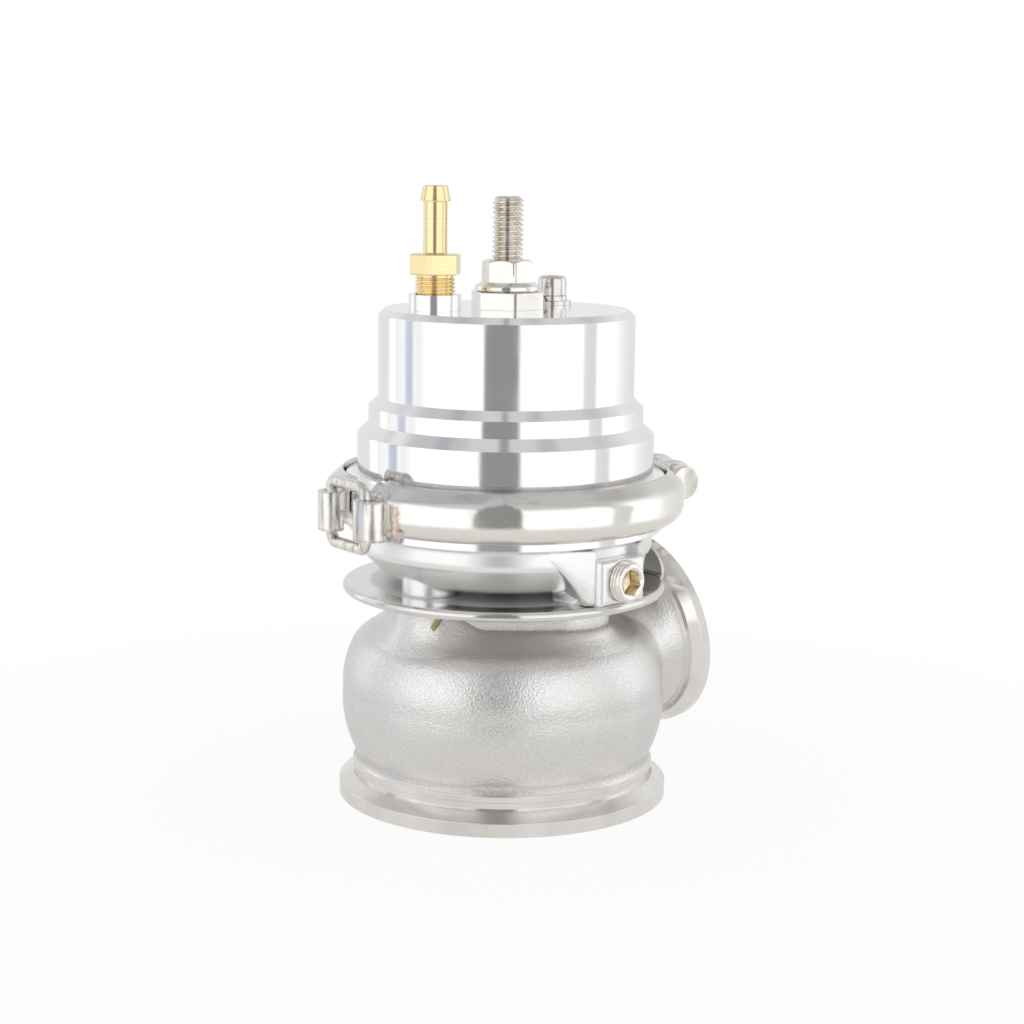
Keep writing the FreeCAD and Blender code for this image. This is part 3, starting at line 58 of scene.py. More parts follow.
# Sizes that the pieces made here share with the solids. Directions are degrees from +X,
# counter-clockwise seen from above, unless they are in radians already; lengths are
# millimetres until a mesh is made.
OUTLET_DIRECTION = 38.0
OUTLET_TILT = 9.0
OUTLET_REACH = 49.5
OUTLET_Z = 38.3
JOINT_Z = 80.7
LOOP_Z = -2.2               # middle of the clamp's rolled loops from the joint face
LINK_R = 48.5
WELD_DIRECTION = -125.0
CAP_TOP = 128.5
CAP_BOSS = 4.1              # boss under the hose fitting, above the cap
FITTING_CIRCLE_R = 20.2
BARB_TURN = math.radians(-155.5)
BARB_X = FITTING_CIRCLE_R * math.cos(BARB_TURN)
BARB_Y = FITTING_CIRCLE_R * math.sin(BARB_TURN)
VENT_TURN = math.radians(53.6)
PORT_TURN = math.radians(-45.0)
PORT_FACE = 42.6
PORT_Z = 62.8
CLAMP_TURN = math.radians(34.0)
BOLT_AXIS_R = 53.2
BOLT_Z = 79.8
BOLT_LUG_NEAR = 2.2         # from the middle of the clamp's gap to a lug
BOLT_LUG_FAR = BOLT_LUG_NEAR + 3.0
CLAMP_NUT_HEIGHT = 5.0
STUD_R = 4.0
STUD_PITCH = 1.25
PIPE_THREAD_R = 5.14
PIPE_PITCH = 0.94
CLAMP_THREAD_R = 3.0
CLAMP_PITCH = 1.0
SHIELD_TOP = 57.0
BOWL_WALL_R = 38.8
BOWL_WALL_FOOT = SHIELD_TOP + 10.6
BOWL_WALL_TOP = SHIELD_TOP + 14.2
BOWL_CONE_R = 32.6          # a little inside the foot of the bowl's cone
BOWL_CONE_FOOT = 4.1        # that foot's height above the heat shield
FAIRING_START = 11.2        # degrees to either side of the port
FAIRING_FOOT = 14.5
FAIRING_END = 36.0
FLANGE_FOOT = 49.3          # square flange under the heat shield
FLANGE_TOP = 54.2
CREST_DIRECTION = 180.0     # side where the casting climbs to the flange's top
CREST_HALF = 81.0
CREST_FADE = 22.0
NECK_CLEAR_FROM = 82.0
NECK_CLEAR_TO = 354.0
BODY_HIGH_R = 41.0

# Fineness of the pieces made here.
AROUND = 96
CORNER_STEPS = 4
BEVEL_STEPS = 5
STEPS_PER_PITCH = 14


# ---- shader building ------------------------------------------------------------------
class Value:
    """A number on a socket; arithmetic on it adds Math nodes."""

    def __init__(self, finish, socket):
        self.finish = finish
        self.socket = socket

    def _math(self, operation, *operands, clamp=False):
        return self.finish.math(operation, *operands, clamp=clamp)

    def __add__(self, other):
        return self._math("ADD", self, other)

    __radd__ = __add__

    def __mul__(self, other):
        return self._math("MULTIPLY", self, other)

    __rmul__ = __mul__

    def __sub__(self, other):
        return self._math("SUBTRACT", self, other)

    def __rsub__(self, other):
        return self._math("SUBTRACT", other, self)

    def __pow__(self, other):
        return self._math("POWER", self, other)

    def clamped(self):
        """Kept between 0 and 1."""
        return self._math("ADD", self, 0.0, clamp=True)

    def rises(self, low, high):
        """0 at low, 1 at high, straight between and level beyond; high may be the smaller."""
        return self._math("MULTIPLY", self - low, 1.0 / (high - low), clamp=True)


class Finish:
    """One node tree, its output and the nodes that finishes are made of."""

    def __init__(self, tree):
        self.tree = tree
        tree.nodes.clear()

    def node(self, kind, settings=None, **sockets):
        """New node; an underscore in a socket's name here is a space there."""
        made = self.tree.nodes.new(kind)
        for key, setting in (settings or {}).items():
            if key == "stops":
                self._stops(made.color_ramp, setting)
            else:
                setattr(made, key, setting)
        for key, given in sockets.items():
            self.plug(made.inputs[key.replace("_", " ")], given)
        return made

    @staticmethod
    def _stops(ramp, stops):
        while len(ramp.elements) < len(stops):
            ramp.elements.new(0.5)
        for element, (place, colour) in zip(ramp.elements, stops):
            if not isinstance(colour, tuple):
                colour = (colour,) * 3
            element.position = place
            element.color = (*colour, 1.0)

    def plug(self, socket, given):
        if isinstance(given, Value):
            self.tree.links.new(given.socket, socket)
        elif isinstance(given, bpy.types.NodeSocket):
            self.tree.links.new(given, socket)
        elif socket.type == "RGBA" and len(given) == 3:
            socket.default_value = (*given, 1.0)
        else:
            socket.default_value = given

    def math(self, operation, *operands, clamp=False):
        made = self.tree.nodes.new("ShaderNodeMath")
        made.operation = operation
        made.use_clamp = clamp
        for socket, operand in zip(made.inputs, operands):
            self.plug(socket, operand)
        return Value(self, made.outputs[0])

    def mix(self, factor, first, second):
        """Colour between two colours."""
        made = self.tree.nodes.new("ShaderNodeMix")
        made.data_type = "RGBA"
        self.plug(made.inputs["Factor"], factor)
        self.plug(made.inputs[6], first)
        self.plug(made.inputs[7], second)
        return made.outputs[2]

    def noise(self, scale, vector, detail=2.0, roughness=0.5, **settings):
        made = self.node("ShaderNodeTexNoise", settings, Scale=scale, Vector=vector,
                         Detail=detail, Roughness=roughness)
        return Value(self, made.outputs["Fac"])

    def cells(self, scale, vector, **settings):
        made = self.node("ShaderNodeTexVoronoi", settings, Scale=scale, Vector=vector)
        return Value(self, made.outputs["Distance"])

    def split(self, vector):
        made = self.node("ShaderNodeSeparateXYZ", Vector=vector)
        return [Value(self, socket) for socket in made.outputs]

    def join(self, x, y, z):
        return self.node("ShaderNodeCombineXYZ", X=x, Y=y, Z=z).outputs[0]

    def place(self):
        """Point on the piece in the part's own frame, in metres."""
        return self.node("ShaderNodeTexCoord").outputs["Object"]


class Metal(Finish):
    """Material with one Principled shader; its constants are set on its own sockets."""

    def __init__(self, name, metallic=1.0, **constants):
        self.material = bpy.data.materials.new(name)
        self.material.use_nodes = True
        super().__init__(self.material.node_tree)
        self.shader = self.node("ShaderNodeBsdfPrincipled", Metallic=metallic, **constants)
        self.node("ShaderNodeOutputMaterial", Surface=self.shader.outputs[0])
        self.point = self.place()
        self.x, self.y, self.z = self.split(self.point)
        self.radius = (self.x * self.x + self.y * self.y) ** 0.5

    def set(self, **sockets):
        for key, given in sockets.items():
            self.plug(self.shader.inputs[key.replace("_", " ")], given)
        return self

    def relief(self, *layers, edge=0.00025, cast=None, cast_edge=0.0):
        """Bump layers, each a height and its depth in metres, over softened edges.

        Where cast is 1 the edges are softened by cast_edge instead of edge.
        """
        normal = self.node("ShaderNodeBevel", {"samples": 4}, Radius=edge).outputs["Normal"]
        if cast:
            wide = self.node("ShaderNodeBevel", {"samples": 6}, Radius=cast_edge).outputs["Normal"]
            both = self.node("ShaderNodeMix", {"data_type": "VECTOR"})
            self.plug(both.inputs["Factor"], cast)
            self.plug(both.inputs[4], normal)
            self.plug(both.inputs[5], wide)
            normal = both.outputs[1]
        for height, depth in layers:
            made = self.node("ShaderNodeBump", Height=height, Distance=depth, Strength=1.0,
                             Normal=normal)
            normal = made.outputs["Normal"]
        return self.set(Normal=normal)


# ---- finishes -------------------------------------------------------------------------
def turned_metal(name, pale, dark, rough, groove=0.000003, axis_at=(0.0, 0.0)):
    """Lathe-turned metal: rings that follow the piece's own axis, and a few dull marks."""
    metal = Metal(name)
    x = metal.x - axis_at[0] * MM
    y = metal.y - axis_at[1] * MM
    radius = (x * x + y * y) ** 0.5
    along = metal.join(0.0, 0.0, radius + metal.z)
    fine = metal.noise(7000.0, along, detail=3.0)
    broad = metal.noise(900.0, along, detail=2.0)
    smudge = metal.noise(70.0, metal.point, detail=3.0)
    shade = (fine * 0.55 + broad * 0.45).rises(0.3, 0.7)
    metal.set(Base_Color=metal.mix(shade, dark, pale),
              Roughness=rough + 0.10 * smudge.rises(0.45, 0.8) + 0.04 * fine)
    return metal.relief((fine, groove), (broad, groove)).material


def clamp_polish():
    """Buffed stainless, wavy from the press, with hairlines; a light tint beside the weld. Painted
    reflections: warm beige for the floor on the lower flank, grey for the dark ceiling on the upper
    flank.
    """
    metal = Metal("clamp_polish")
    swell = metal.noise(150.0, metal.point, detail=2.0)
    dents = metal.noise(520.0, metal.point, detail=2.0)
    stretched = metal.join(metal.x * 240.0, metal.y * 240.0, metal.z * 3800.0)
    hair = metal.noise(1.0, stretched, detail=2.0)
    patch = metal.noise(120.0, metal.point, detail=4.0)
    bearing = metal.math("ARCTAN2", metal.y, metal.x)
    strap = bearing.rises(-2.86, -2.80) * (1.0 - bearing.rises(-2.26, -2.22))
    drawn = metal.join(metal.x * 520.0, metal.y * 520.0, metal.z * 70.0)
    streak = metal.noise(1.0, drawn, detail=3.0)
    # Painted reflection: the lower flank is tinted warm beige for the pale floor, the upper flank
    # greyed for the dark ceiling.
    painted_floor_reflection = metal.z.rises(0.0800, 0.0765)
    painted_ceiling_reflection = metal.z.rises(0.0832, 0.0850)
    shade = (patch.rises(0.3, 0.75) * 0.7 + hair * 0.3).clamped()
    colour = metal.mix(shade, (0.84, 0.815, 0.78), (0.95, 0.935, 0.905))
    # Painted reflections of the floor and the ceiling laid over the two flanks.
    colour = metal.mix(painted_floor_reflection * 0.6, colour, (0.82, 0.775, 0.715))
    colour = metal.mix(painted_ceiling_reflection * 0.45, colour, (0.60, 0.58, 0.56))
    colour = metal.mix(streak.rises(0.50, 0.66) * strap * 0.75, colour, (0.40, 0.39, 0.38))
    wander = 0.03 * (metal.noise(420.0, metal.point, detail=4.0) - 0.5)
    ragged = (bearing - math.radians(WELD_DIRECTION) + wander) * LINK_R
    beside = ragged.rises(-1.6, -1.2) * (1.0 - ragged.rises(1.3, 2.6))
    height = metal.math("ABSOLUTE", metal.z - (JOINT_Z + LOOP_Z) * MM)
    tint = beside * (1.0 - height.rises(0.0040, 0.0055)) * metal.radius.rises(0.0452, 0.0460)
    dull = 0.08 * patch.rises(0.5, 0.85) + 0.04 * hair + 0.12 * tint + 0.07 * strap
    metal.set(Base_Color=metal.mix(tint * 0.55, colour, (0.66, 0.47, 0.38)), Roughness=0.07 + dull)
    return metal.relief((swell, 0.00011), (dents * strap, 0.00007), (hair, 0.0000015),
                        edge=0.0014).material


def plated_metal(name, pale, dark, rough, grit=0.000003):
    """Plated small part: fine grain and soft patches."""
    metal = Metal(name)
    patch = metal.noise(400.0, metal.point, detail=3.0)
    grain = metal.noise(6500.0, metal.point, detail=2.0)
    metal.set(Base_Color=metal.mix(patch.rises(0.3, 0.7), dark, pale),
              Roughness=rough + 0.10 * patch.rises(0.45, 0.8) + 0.04 * grain)
    return metal.relief((patch, 0.000008), (grain, grit)).material


def plug_metal():
    """Bright plug whose socket shows a pale yellow passivation."""
    metal = Metal("plug_plate")
    along = metal.x * math.cos(PORT_TURN) + metal.y * math.sin(PORT_TURN)
    across = metal.y * math.cos(PORT_TURN) - metal.x * math.sin(PORT_TURN)
    rise = metal.z - PORT_Z * MM
    away = (across * across + rise * rise) ** 0.5
    socket = 1.0 - away.rises(0.0031, 0.0036)
    patch = metal.noise(500.0, metal.point, detail=3.0)
    rings = metal.noise(5200.0, metal.join(0.0, 0.0, away + along), detail=2.0)
    shade = (patch * 0.5 + rings * 0.5).rises(0.3, 0.7)
    skin = metal.mix(shade, (0.80, 0.77, 0.70), (0.93, 0.915, 0.88))
    metal.set(Base_Color=metal.mix(socket * 0.85, skin, (0.80, 0.70, 0.52)),
              Roughness=0.10 + 0.10 * patch)
    return metal.relief((rings, 0.000003)).material


def housing_metal():
    """Investment-cast skin with a pebbled grain; both flanges are turned bright, with painted
    reflection bands round them.
    """
    metal = Metal("cast_housing", metallic=0.94)
    pebble = metal.cells(1900.0, metal.point, feature="SMOOTH_F1")
    grain = metal.noise(3300.0, metal.point, detail=3.0, roughness=0.6)
    wave = metal.noise(110.0, metal.point, detail=2.0)
    stain = metal.noise(45.0, metal.point, detail=4.0)
    tilt = math.radians(OUTLET_TILT)
    turn = math.radians(OUTLET_DIRECTION)
    level = Vector((math.cos(turn), math.sin(turn), 0.0))
    normal = level * math.cos(tilt) + Vector((0.0, 0.0, math.sin(tilt)))
    face = (level * OUTLET_REACH + Vector((0.0, 0.0, OUTLET_Z))) * MM
    ahead = metal.x * normal.x + metal.y * normal.y + metal.z * normal.z - face.dot(normal)
    inlet_flange = metal.z.rises(0.0099, 0.0092)
    outlet_flange = ahead.rises(-0.0057, -0.0053)
    turned = (inlet_flange + outlet_flange).clamped()
    ring_z = metal.noise(5200.0, metal.join(0.0, 0.0, metal.z + metal.radius), detail=2.0)
    # Painted reflection: light and grey bands round the turned flanges stand in for the studio
    # panels they reflect.
    painted_reflection_bands = metal.noise(26.0, metal.join(metal.x, metal.y, 0.0), detail=4.0, roughness=0.7)
    cast = 1.0 - turned
    pale = metal.mix(stain.rises(0.3, 0.7), (0.83, 0.815, 0.80), (0.92, 0.91, 0.90))
    cast_shade = (grain * 0.6 + pebble * 0.4).rises(0.2, 0.75)
    cast_colour = metal.mix(cast_shade, (0.68, 0.665, 0.65), pale)
    # Real turning rings mixed with the painted reflection bands.
    turned_rings_and_painted_bands = ring_z * 0.4 + painted_reflection_bands.rises(0.36, 0.62) * 0.6
    turned_colour = metal.mix(turned_rings_and_painted_bands, (0.72, 0.69, 0.65), (0.97, 0.95, 0.92))
    metal.set(Base_Color=metal.mix(turned, cast_colour, turned_colour),
              Roughness=cast * (0.19 + 0.12 * grain) + turned * (0.08 + 0.08 * ring_z))
    layers = [(wave * cast, 0.00012), (pebble * cast, 0.00008), (grain * cast, 0.00006),
              (ring_z * turned, 0.000004)]
    return metal.relief(*layers, edge=0.0003, cast=cast, cast_edge=0.003).material


def bowl_metal():
    """Fine sand-blasted casting with a turned lip below the clamp."""
    metal = Metal("cast_bowl", metallic=0.86)
    grain = metal.noise(3600.0, metal.point, detail=3.0, roughness=0.65)
    wave = metal.noise(150.0, metal.point, detail=2.0)
    patch = metal.noise(60.0, metal.point, detail=3.0)
    turned = metal.z.rises(0.0717, 0.0719)      # the lip
    ring_z = metal.noise(6000.0, metal.join(0.0, 0.0, metal.z + metal.radius), detail=2.0)
    cast = 1.0 - turned
    shade = (grain * 0.7 + patch * 0.3).rises(0.3, 0.7)
    cast_colour = metal.mix(shade, (0.87, 0.87, 0.865), (0.98, 0.98, 0.975))
    turned_colour = metal.mix(ring_z, (0.88, 0.88, 0.88), (0.97, 0.97, 0.97))
    metal.set(Base_Color=metal.mix(turned, cast_colour, turned_colour),
              Roughness=cast * (0.15 + 0.10 * grain) + turned * (0.08 + 0.06 * ring_z))
    layers = [(wave * cast, 0.00010), (grain * cast, 0.00004), (ring_z * turned, 0.000003)]
    return metal.relief(*layers, edge=0.0003, cast=cast, cast_edge=0.0012).material


def shield_metal():
    """Bright sheet turned in fine rings; dull below the bowl and on the turned-up flap."""
    metal = Metal("shield_sheet")
    inside = 1.0 - metal.radius.rises(0.0345, 0.0365)
    flap = metal.z.rises(0.05745, 0.0578)
    dull = (inside + flap).clamped()
    ring = metal.noise(4200.0, metal.join(0.0, 0.0, metal.radius + metal.z), detail=3.0)
    mark = metal.noise(140.0, metal.point, detail=5.0, roughness=0.7)
    shade = (ring * 0.5 + mark * 0.5).rises(0.3, 0.7)
    metal.set(Base_Color=metal.mix(shade, (0.68, 0.665, 0.645), (0.83, 0.815, 0.80)),
              Roughness=0.08 + 0.12 * mark.rises(0.45, 0.8) + 0.04 * ring + 0.25 * dull,
              Metallic=1.0 - 0.45 * dull)
    return metal.relief((ring, 0.000003), (mark, 0.000010), edge=0.0003).material


def painted_wire(name, pale, dark):
    """Powder-painted spring wire."""
    paint = Metal(name, metallic=0.0)
    speck = paint.noise(900.0, paint.point, detail=4.0)
    peel = paint.noise(1900.0, paint.point, detail=1.0)
    paint.set(Base_Color=paint.mix(speck.rises(0.35, 0.7), dark, pale),
              Roughness=0.34 + 0.2 * speck)
    return paint.relief((peel, 0.00003)).material


def moulded_rubber(name, pale, dark):
    """Matt rubber with a moulding bloom."""
    rubber = Metal(name, metallic=0.0)
    bloom = rubber.noise(160.0, rubber.point, detail=5.0)
    pore = rubber.noise(4200.0, rubber.point, detail=2.0)
    rubber.set(Base_Color=rubber.mix(bloom.rises(0.35, 0.75), dark, pale),
               Roughness=0.62 + 0.2 * bloom)
    return rubber.relief((pore, 0.00002)).material


FINISHES = {
    "cast_steel": housing_metal(),
    "seat_steel": turned_metal("ground_seat", (0.62, 0.60, 0.58), (0.46, 0.45, 0.44), 0.22),
    "bronze": turned_metal("bronze_guide", (0.72, 0.50, 0.26), (0.55, 0.37, 0.18), 0.28),
    "valve_steel": turned_metal("forged_valve", (0.56, 0.54, 0.52), (0.40, 0.385, 0.37), 0.26),
    "turned_aluminium": turned_metal("piston_metal", (0.80, 0.80, 0.80), (0.66, 0.66, 0.66),
                                     0.25),
    "plated_steel": plated_metal("zinc_plate", (0.70, 0.70, 0.68), (0.55, 0.55, 0.54), 0.25),
    "gasket_steel": plated_metal("tinted_gasket", (0.46, 0.37, 0.22), (0.30, 0.235, 0.13), 0.26),
    "shield_steel": shield_metal(),
    "cast_aluminium": bowl_metal(),
    "black_steel": plated_metal("black_oxide", (0.09, 0.09, 0.095), (0.04, 0.04, 0.045), 0.35),
    "gold_steel": plug_metal(),
    "seal_rubber": moulded_rubber("seal_rubber", (0.05, 0.045, 0.045), (0.025, 0.02, 0.02)),
    "diaphragm_rubber": moulded_rubber("diaphragm_rubber", (0.20, 0.085, 0.06),
                                       (0.12, 0.05, 0.035)),
    "spring_steel": painted_wire("spring_paint", (0.12, 0.22, 0.38), (0.07, 0.13, 0.24)),
    "polished_aluminium": turned_metal("cap_metal", (0.96, 0.96, 0.965), (0.90, 0.90, 0.905),
                                       0.075, groove=0.0000012),
    "satin_nickel": plated_metal("satin_nickel", (0.95, 0.935, 0.90), (0.84, 0.815, 0.77), 0.15),
    "bright_nickel": plated_metal("bright_nickel", (0.95, 0.93, 0.89), (0.80, 0.77, 0.71), 0.05),
    "brass": turned_metal("turned_brass", (0.98, 0.86, 0.56), (0.88, 0.68, 0.34), 0.12,
                          axis_at=(BARB_X, BARB_Y)),
    "stainless": plated_metal("plain_stainless", (0.84, 0.825, 0.80), (0.66, 0.64, 0.61), 0.12),
    "polished_stainless": clamp_polish(),
}

OWN_FINISH = {      # pieces that look unlike the rest of their slot
    "adjuster_stud": plated_metal("threaded_nickel", (0.86, 0.83, 0.77), (0.62, 0.59, 0.53),
                                  0.10),
}

SLOT_OF = {entry["node"]: entry["material_slot"] for entry in frame["record"]["subparts"]}
BODY_OF = {node: body for body, members in frame["record"]["behaviour"]["bodies"].items()
           for node in members}

for node_name, slot_name in SLOT_OF.items():
    skins = nodes[node_name].data.materials
    skins.clear()
    skins.append(FINISHES[slot_name])


# ---- turned and threaded pieces -------------------------------------------------------
def hexagon(flats, corner_turn):
    """Radius of a hexagon with one corner in a direction given in degrees."""
    def radius(angle):
        part = (math.degrees(angle) - corner_turn) % 60.0 - 30.0
        return flats / 2 / math.cos(math.radians(part))
    return radius


def hexagon_rings(flats, corner_turn, low, high, below=True):
    """Hexagon with its corners turned off at 30 degrees above and, if asked, below."""
    shape = hexagon(flats, corner_turn)
    corner = flats / math.sqrt(3) + 0.02
    inner = flats / 2 * 0.955
    drop = (corner - inner) * math.tan(math.radians(30.0))

    def cut(radius):
        return lambda angle: min(shape(angle), radius)

    shares = [step / BEVEL_STEPS for step in range(BEVEL_STEPS + 1)]
    foot = [(low + drop * share, cut(inner + (corner - inner) * share)) for share in shares]
    head = [(high - drop * (1 - share), cut(corner + (inner - corner) * share))
            for share in shares]
    return (foot if below else [(low, shape)]) + head


def thread_rings(radius, pitch, low, high, depth=0.6, fade_low=True, tip=0.0):
    """Right-hand thread with flat crests.

    depth is a share of the pitch, tip the chamfer at the upper end. With fade_low the
    grooves run out at the lower end.
    """
    rings = []
    steps = round((high - low) / pitch * STEPS_PER_PITCH)
    for step in range(steps + 1):
        z = low + (high - low) * step / steps
        fade = min(1.0, (z - low) / pitch * 1.5) if fade_low else 1.0
        limit = radius - max(0.0, tip - (high - z))

        def reach(angle, z=z, fade=fade, limit=limit):
            place = abs((z / pitch - angle / (2 * math.pi)) % 1.0 - 0.5) * 2.0
            crest = min(1.0, max(0.0, (place - 0.12) / 0.56))
            return min(limit, radius - depth * pitch * fade * (1.0 - crest))

        rings.append((z, reach))
    return rings


def rounded(rings, corner):
    """Rounds the inner corners of a plain profile of (z, radius) numbers."""
    smooth = [rings[0]]
    for before, here, after in zip(rings, rings[1:], rings[2:]):
        back = Vector(before) - Vector(here)
        ahead = Vector(after) - Vector(here)
        size = min(corner, back.length * 0.45, ahead.length * 0.45)
        start = Vector(here) + back.normalized() * size
        end = Vector(here) + ahead.normalized() * size
        for step in range(CORNER_STEPS + 1):
            share = step / CORNER_STEPS
            spot = (start * (1 - share) ** 2 + Vector(here) * 2 * share * (1 - share)
                    + end * share ** 2)
            smooth.append((spot[0], spot[1]))
    smooth.append(rings[-1])
    return smooth


def spun(name, rings, node, place=Matrix.Identity(4), joined=False):
    """Piece made of rings of (z, radius) about its own axis; it stands for a CAD node.

    A radius is a number or a function of the angle. With joined the last ring meets the
    first, which leaves a bore.
    """
    shape = bmesh.new()
    angles = [2 * math.pi * k / AROUND for k in range(AROUND)]
    rows = []
    for z, radius in rings:
        if not callable(radius) and radius <= 0.0:
            rows.append([shape.verts.new((0, 0, z * MM))] * AROUND)
            continue
        row = []
        for angle in angles:
            reach = (radius(angle) if callable(radius) else radius) * MM
            spot = (reach * math.cos(angle), reach * math.sin(angle), z * MM)
            row.append(shape.verts.new(spot))
        rows.append(row)
    pairs = list(zip(rows, rows[1:]))
    if joined:
        pairs.append((rows[-1], rows[0]))
    for lower, upper in pairs:
        for k in range(AROUND):
            n = (k + 1) % AROUND
            corners = list(dict.fromkeys((lower[k], lower[n], upper[n], upper[k])))
            if len(corners) > 2:
                shape.faces.new(corners)
    bmesh.ops.recalc_face_normals(shape, faces=shape.faces)
    return finished(name, shape, node, place)


def finished(name, shape, node, place=Matrix.Identity(4), crease=32.0, stands_for=True):
    """Dressed piece from a bmesh, on its CAD node's body; with stands_for it hides the node."""
    mesh = bpy.data.meshes.new(name)
    shape.transform(place)
    shape.to_mesh(mesh)
    shape.free()
    mesh.shade_smooth()
    mesh.set_sharp_from_angle(angle=math.radians(crease))
    piece = bpy.data.objects.new(name, mesh)
    bpy.context.scene.collection.objects.link(piece)
    slot = SLOT_OF[node]
    mesh.materials.append(OWN_FINISH.get(node, FINISHES[slot]))
    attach(piece, BODY_OF[node])
    if stands_for:
        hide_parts(node)
    return piece


def span(node):
    """Lowest and highest height of a CAD node, in millimetres."""
    low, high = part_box(node)
    return low[2] / MM, high[2] / MM


def standing(turn, reach):
    """Matrix that moves a piece built on the Z axis out in a direction."""
    return Matrix.Translation(Vector((reach * math.cos(turn), reach * math.sin(turn), 0.0)) * MM)


def threaded_stud():
    """M8 adjusting stud: plain below the cap, threaded where it shows."""
    low, high = span("adjuster_stud")
    start = CAP_TOP + 2.0
    rings = [(low, 0.0), (low, 2.9), (low + 1.5, 2.9), (low + 2.6, STUD_R), (start, STUD_R)]
    rings += thread_rings(STUD_R, STUD_PITCH, start + 0.1, high - 0.05, tip=1.0)
    rings += [(high, 2.7), (high, 0.0)]
    spun("stud_thread", rings, "adjuster_stud")


def flanged_lock_nut():
    """Hexagon nut that grows out of a rounded flange."""
    low, high = span("lock_nut")
    flange_top = low + 2.3
    skirt = rounded([(low, 4.1), (low, 8.2), (low + 0.5, 8.5), (low + 1.3, 8.4),
                     (flange_top, 6.9)], 0.45)
    flats = hexagon_rings(12.0, 46.0, flange_top, high, below=False)
    rings = skirt + flats + [(high, 5.0), (high - 0.8, 4.06)]
    spun("lock_nut_body", rings, "lock_nut", joined=True)


def top_bush():
    """Hexagon on the cap whose upper edge is broken by a small bevel."""
    low, high = span("adjuster_bush")
    hexagonal = hexagon(16.8, 44.0)
    inner = hexagon(16.3, 44.0)
    rings = [(low, 4.1), (low, 7.0), (CAP_TOP, 7.0), (CAP_TOP, hexagonal),
             (high - 0.3, hexagonal), (high, inner), (high, 4.1)]
    spun("bush_body", rings, "adjuster_bush", joined=True)


def brass_barb():
    """Hose fitting: pipe thread, hexagon, stem and one ridge."""
    low, high = span("hose_barb")
    seat = CAP_TOP + CAP_BOSS
    hex_low = seat + 5.0
    hex_high = hex_low + 5.2
    ridge = high - 3.9
    bore = 1.9
    stem = 3.05
    flats = hexagon(12.0, 22.0)
    rings = [(low, bore), (low, 4.6), (seat - 0.6, 4.6)]
    rings += thread_rings(PIPE_THREAD_R, PIPE_PITCH, seat - 0.6, hex_low - 0.75, fade_low=False)
    rings += [(hex_low - 0.7, 4.75), (hex_low, 4.75)]
    rings += [(hex_low, hexagon(11.6, 22.0)), (hex_low + 0.2, flats),
              (hex_high - 0.25, flats), (hex_high, hexagon(11.5, 22.0))]
    rings += rounded([(hex_high, 4.3), (hex_high, 3.5), (hex_high + 0.3, stem), (ridge, stem),
                      (ridge, 3.9), (ridge + 0.9, 3.75), (high, 3.1), (high, bore)], 0.18)
    spun("barb_body", rings, "hose_barb", standing(BARB_TURN, FITTING_CIRCLE_R), joined=True)


def socket_rings(high, flats, depth, corner_turn=0.0):
    """Hexagon socket with a conical floor, from the top face inwards."""
    countersink = 0.35
    shape = hexagon(flats, corner_turn)
    wide = flats / math.sqrt(3) + countersink

    def mouth(cone):
        return lambda angle: max(shape(angle), cone)

    rings = []
    for step in range(CORNER_STEPS + 1):
        share = step / CORNER_STEPS
        rings.append((high - share * countersink, mouth(wide - countersink * 2.2 * share)))
    rings += [(high - depth, shape), (high - depth - 0.1, flats / 2 * 0.9)]
    return rings + [(high - depth - flats * 0.25, 0.0)]


def vent_cap_screw():
    """Socket-head screw with a domed edge."""
    low, high = span("vent_screw")
    seat = high - 5.2
    rings = [(low, 0.0), (low, 2.2), (low + 0.4, 2.5), (seat, 2.5)]
    rings += rounded([(seat, 2.6), (seat, 3.8), (high - 1.0, 3.8)], 0.3)
    rings += [(high - 0.7, 3.74), (high - 0.4, 3.58), (high - 0.15, 3.3), (high - 0.03, 3.0),
              (high, 2.75)]
    rings += socket_rings(high, 4.0, 2.4)
    spun("vent_screw_body", rings, "vent_screw", standing(VENT_TURN, FITTING_CIRCLE_R))


def laid(turn, foot_turn, reach, z):
    """Matrix that points a piece built along +Z in a direction, from a foot elsewhere."""
    lay = Matrix.Rotation(turn, 4, "Z") @ Matrix.Rotation(math.radians(90.0), 4, "Y")
    foot = Vector((reach * math.cos(foot_turn), reach * math.sin(foot_turn), z)) * MM
    return Matrix.Translation(foot) @ lay


def threaded_plug():
    """Socket plug; its first thread crests show outside the port."""
    top = 2.7
    rings = [(-7.0, 0.0), (-7.0, 4.6), (-6.5, 5.1), (-1.2, 5.1)]
    rings += thread_rings(PIPE_THREAD_R, PIPE_PITCH, -1.1, top - 0.75, depth=0.45)
    rings += rounded([(top - 0.72, 4.95), (top - 0.25, 4.8), (top, 4.4), (top, 3.95)], 0.2)
    rings += socket_rings(top, 6.0, 3.6, 12.0)
    spun("plug_body", rings, "port_plug", laid(PORT_TURN, PORT_TURN, PORT_FACE, PORT_Z))


def along_bolt():
    """Matrix that lays a piece built along +Z on the clamp bolt's axis."""
    return laid(CLAMP_TURN + math.radians(90.0), CLAMP_TURN, BOLT_AXIS_R, BOLT_Z)


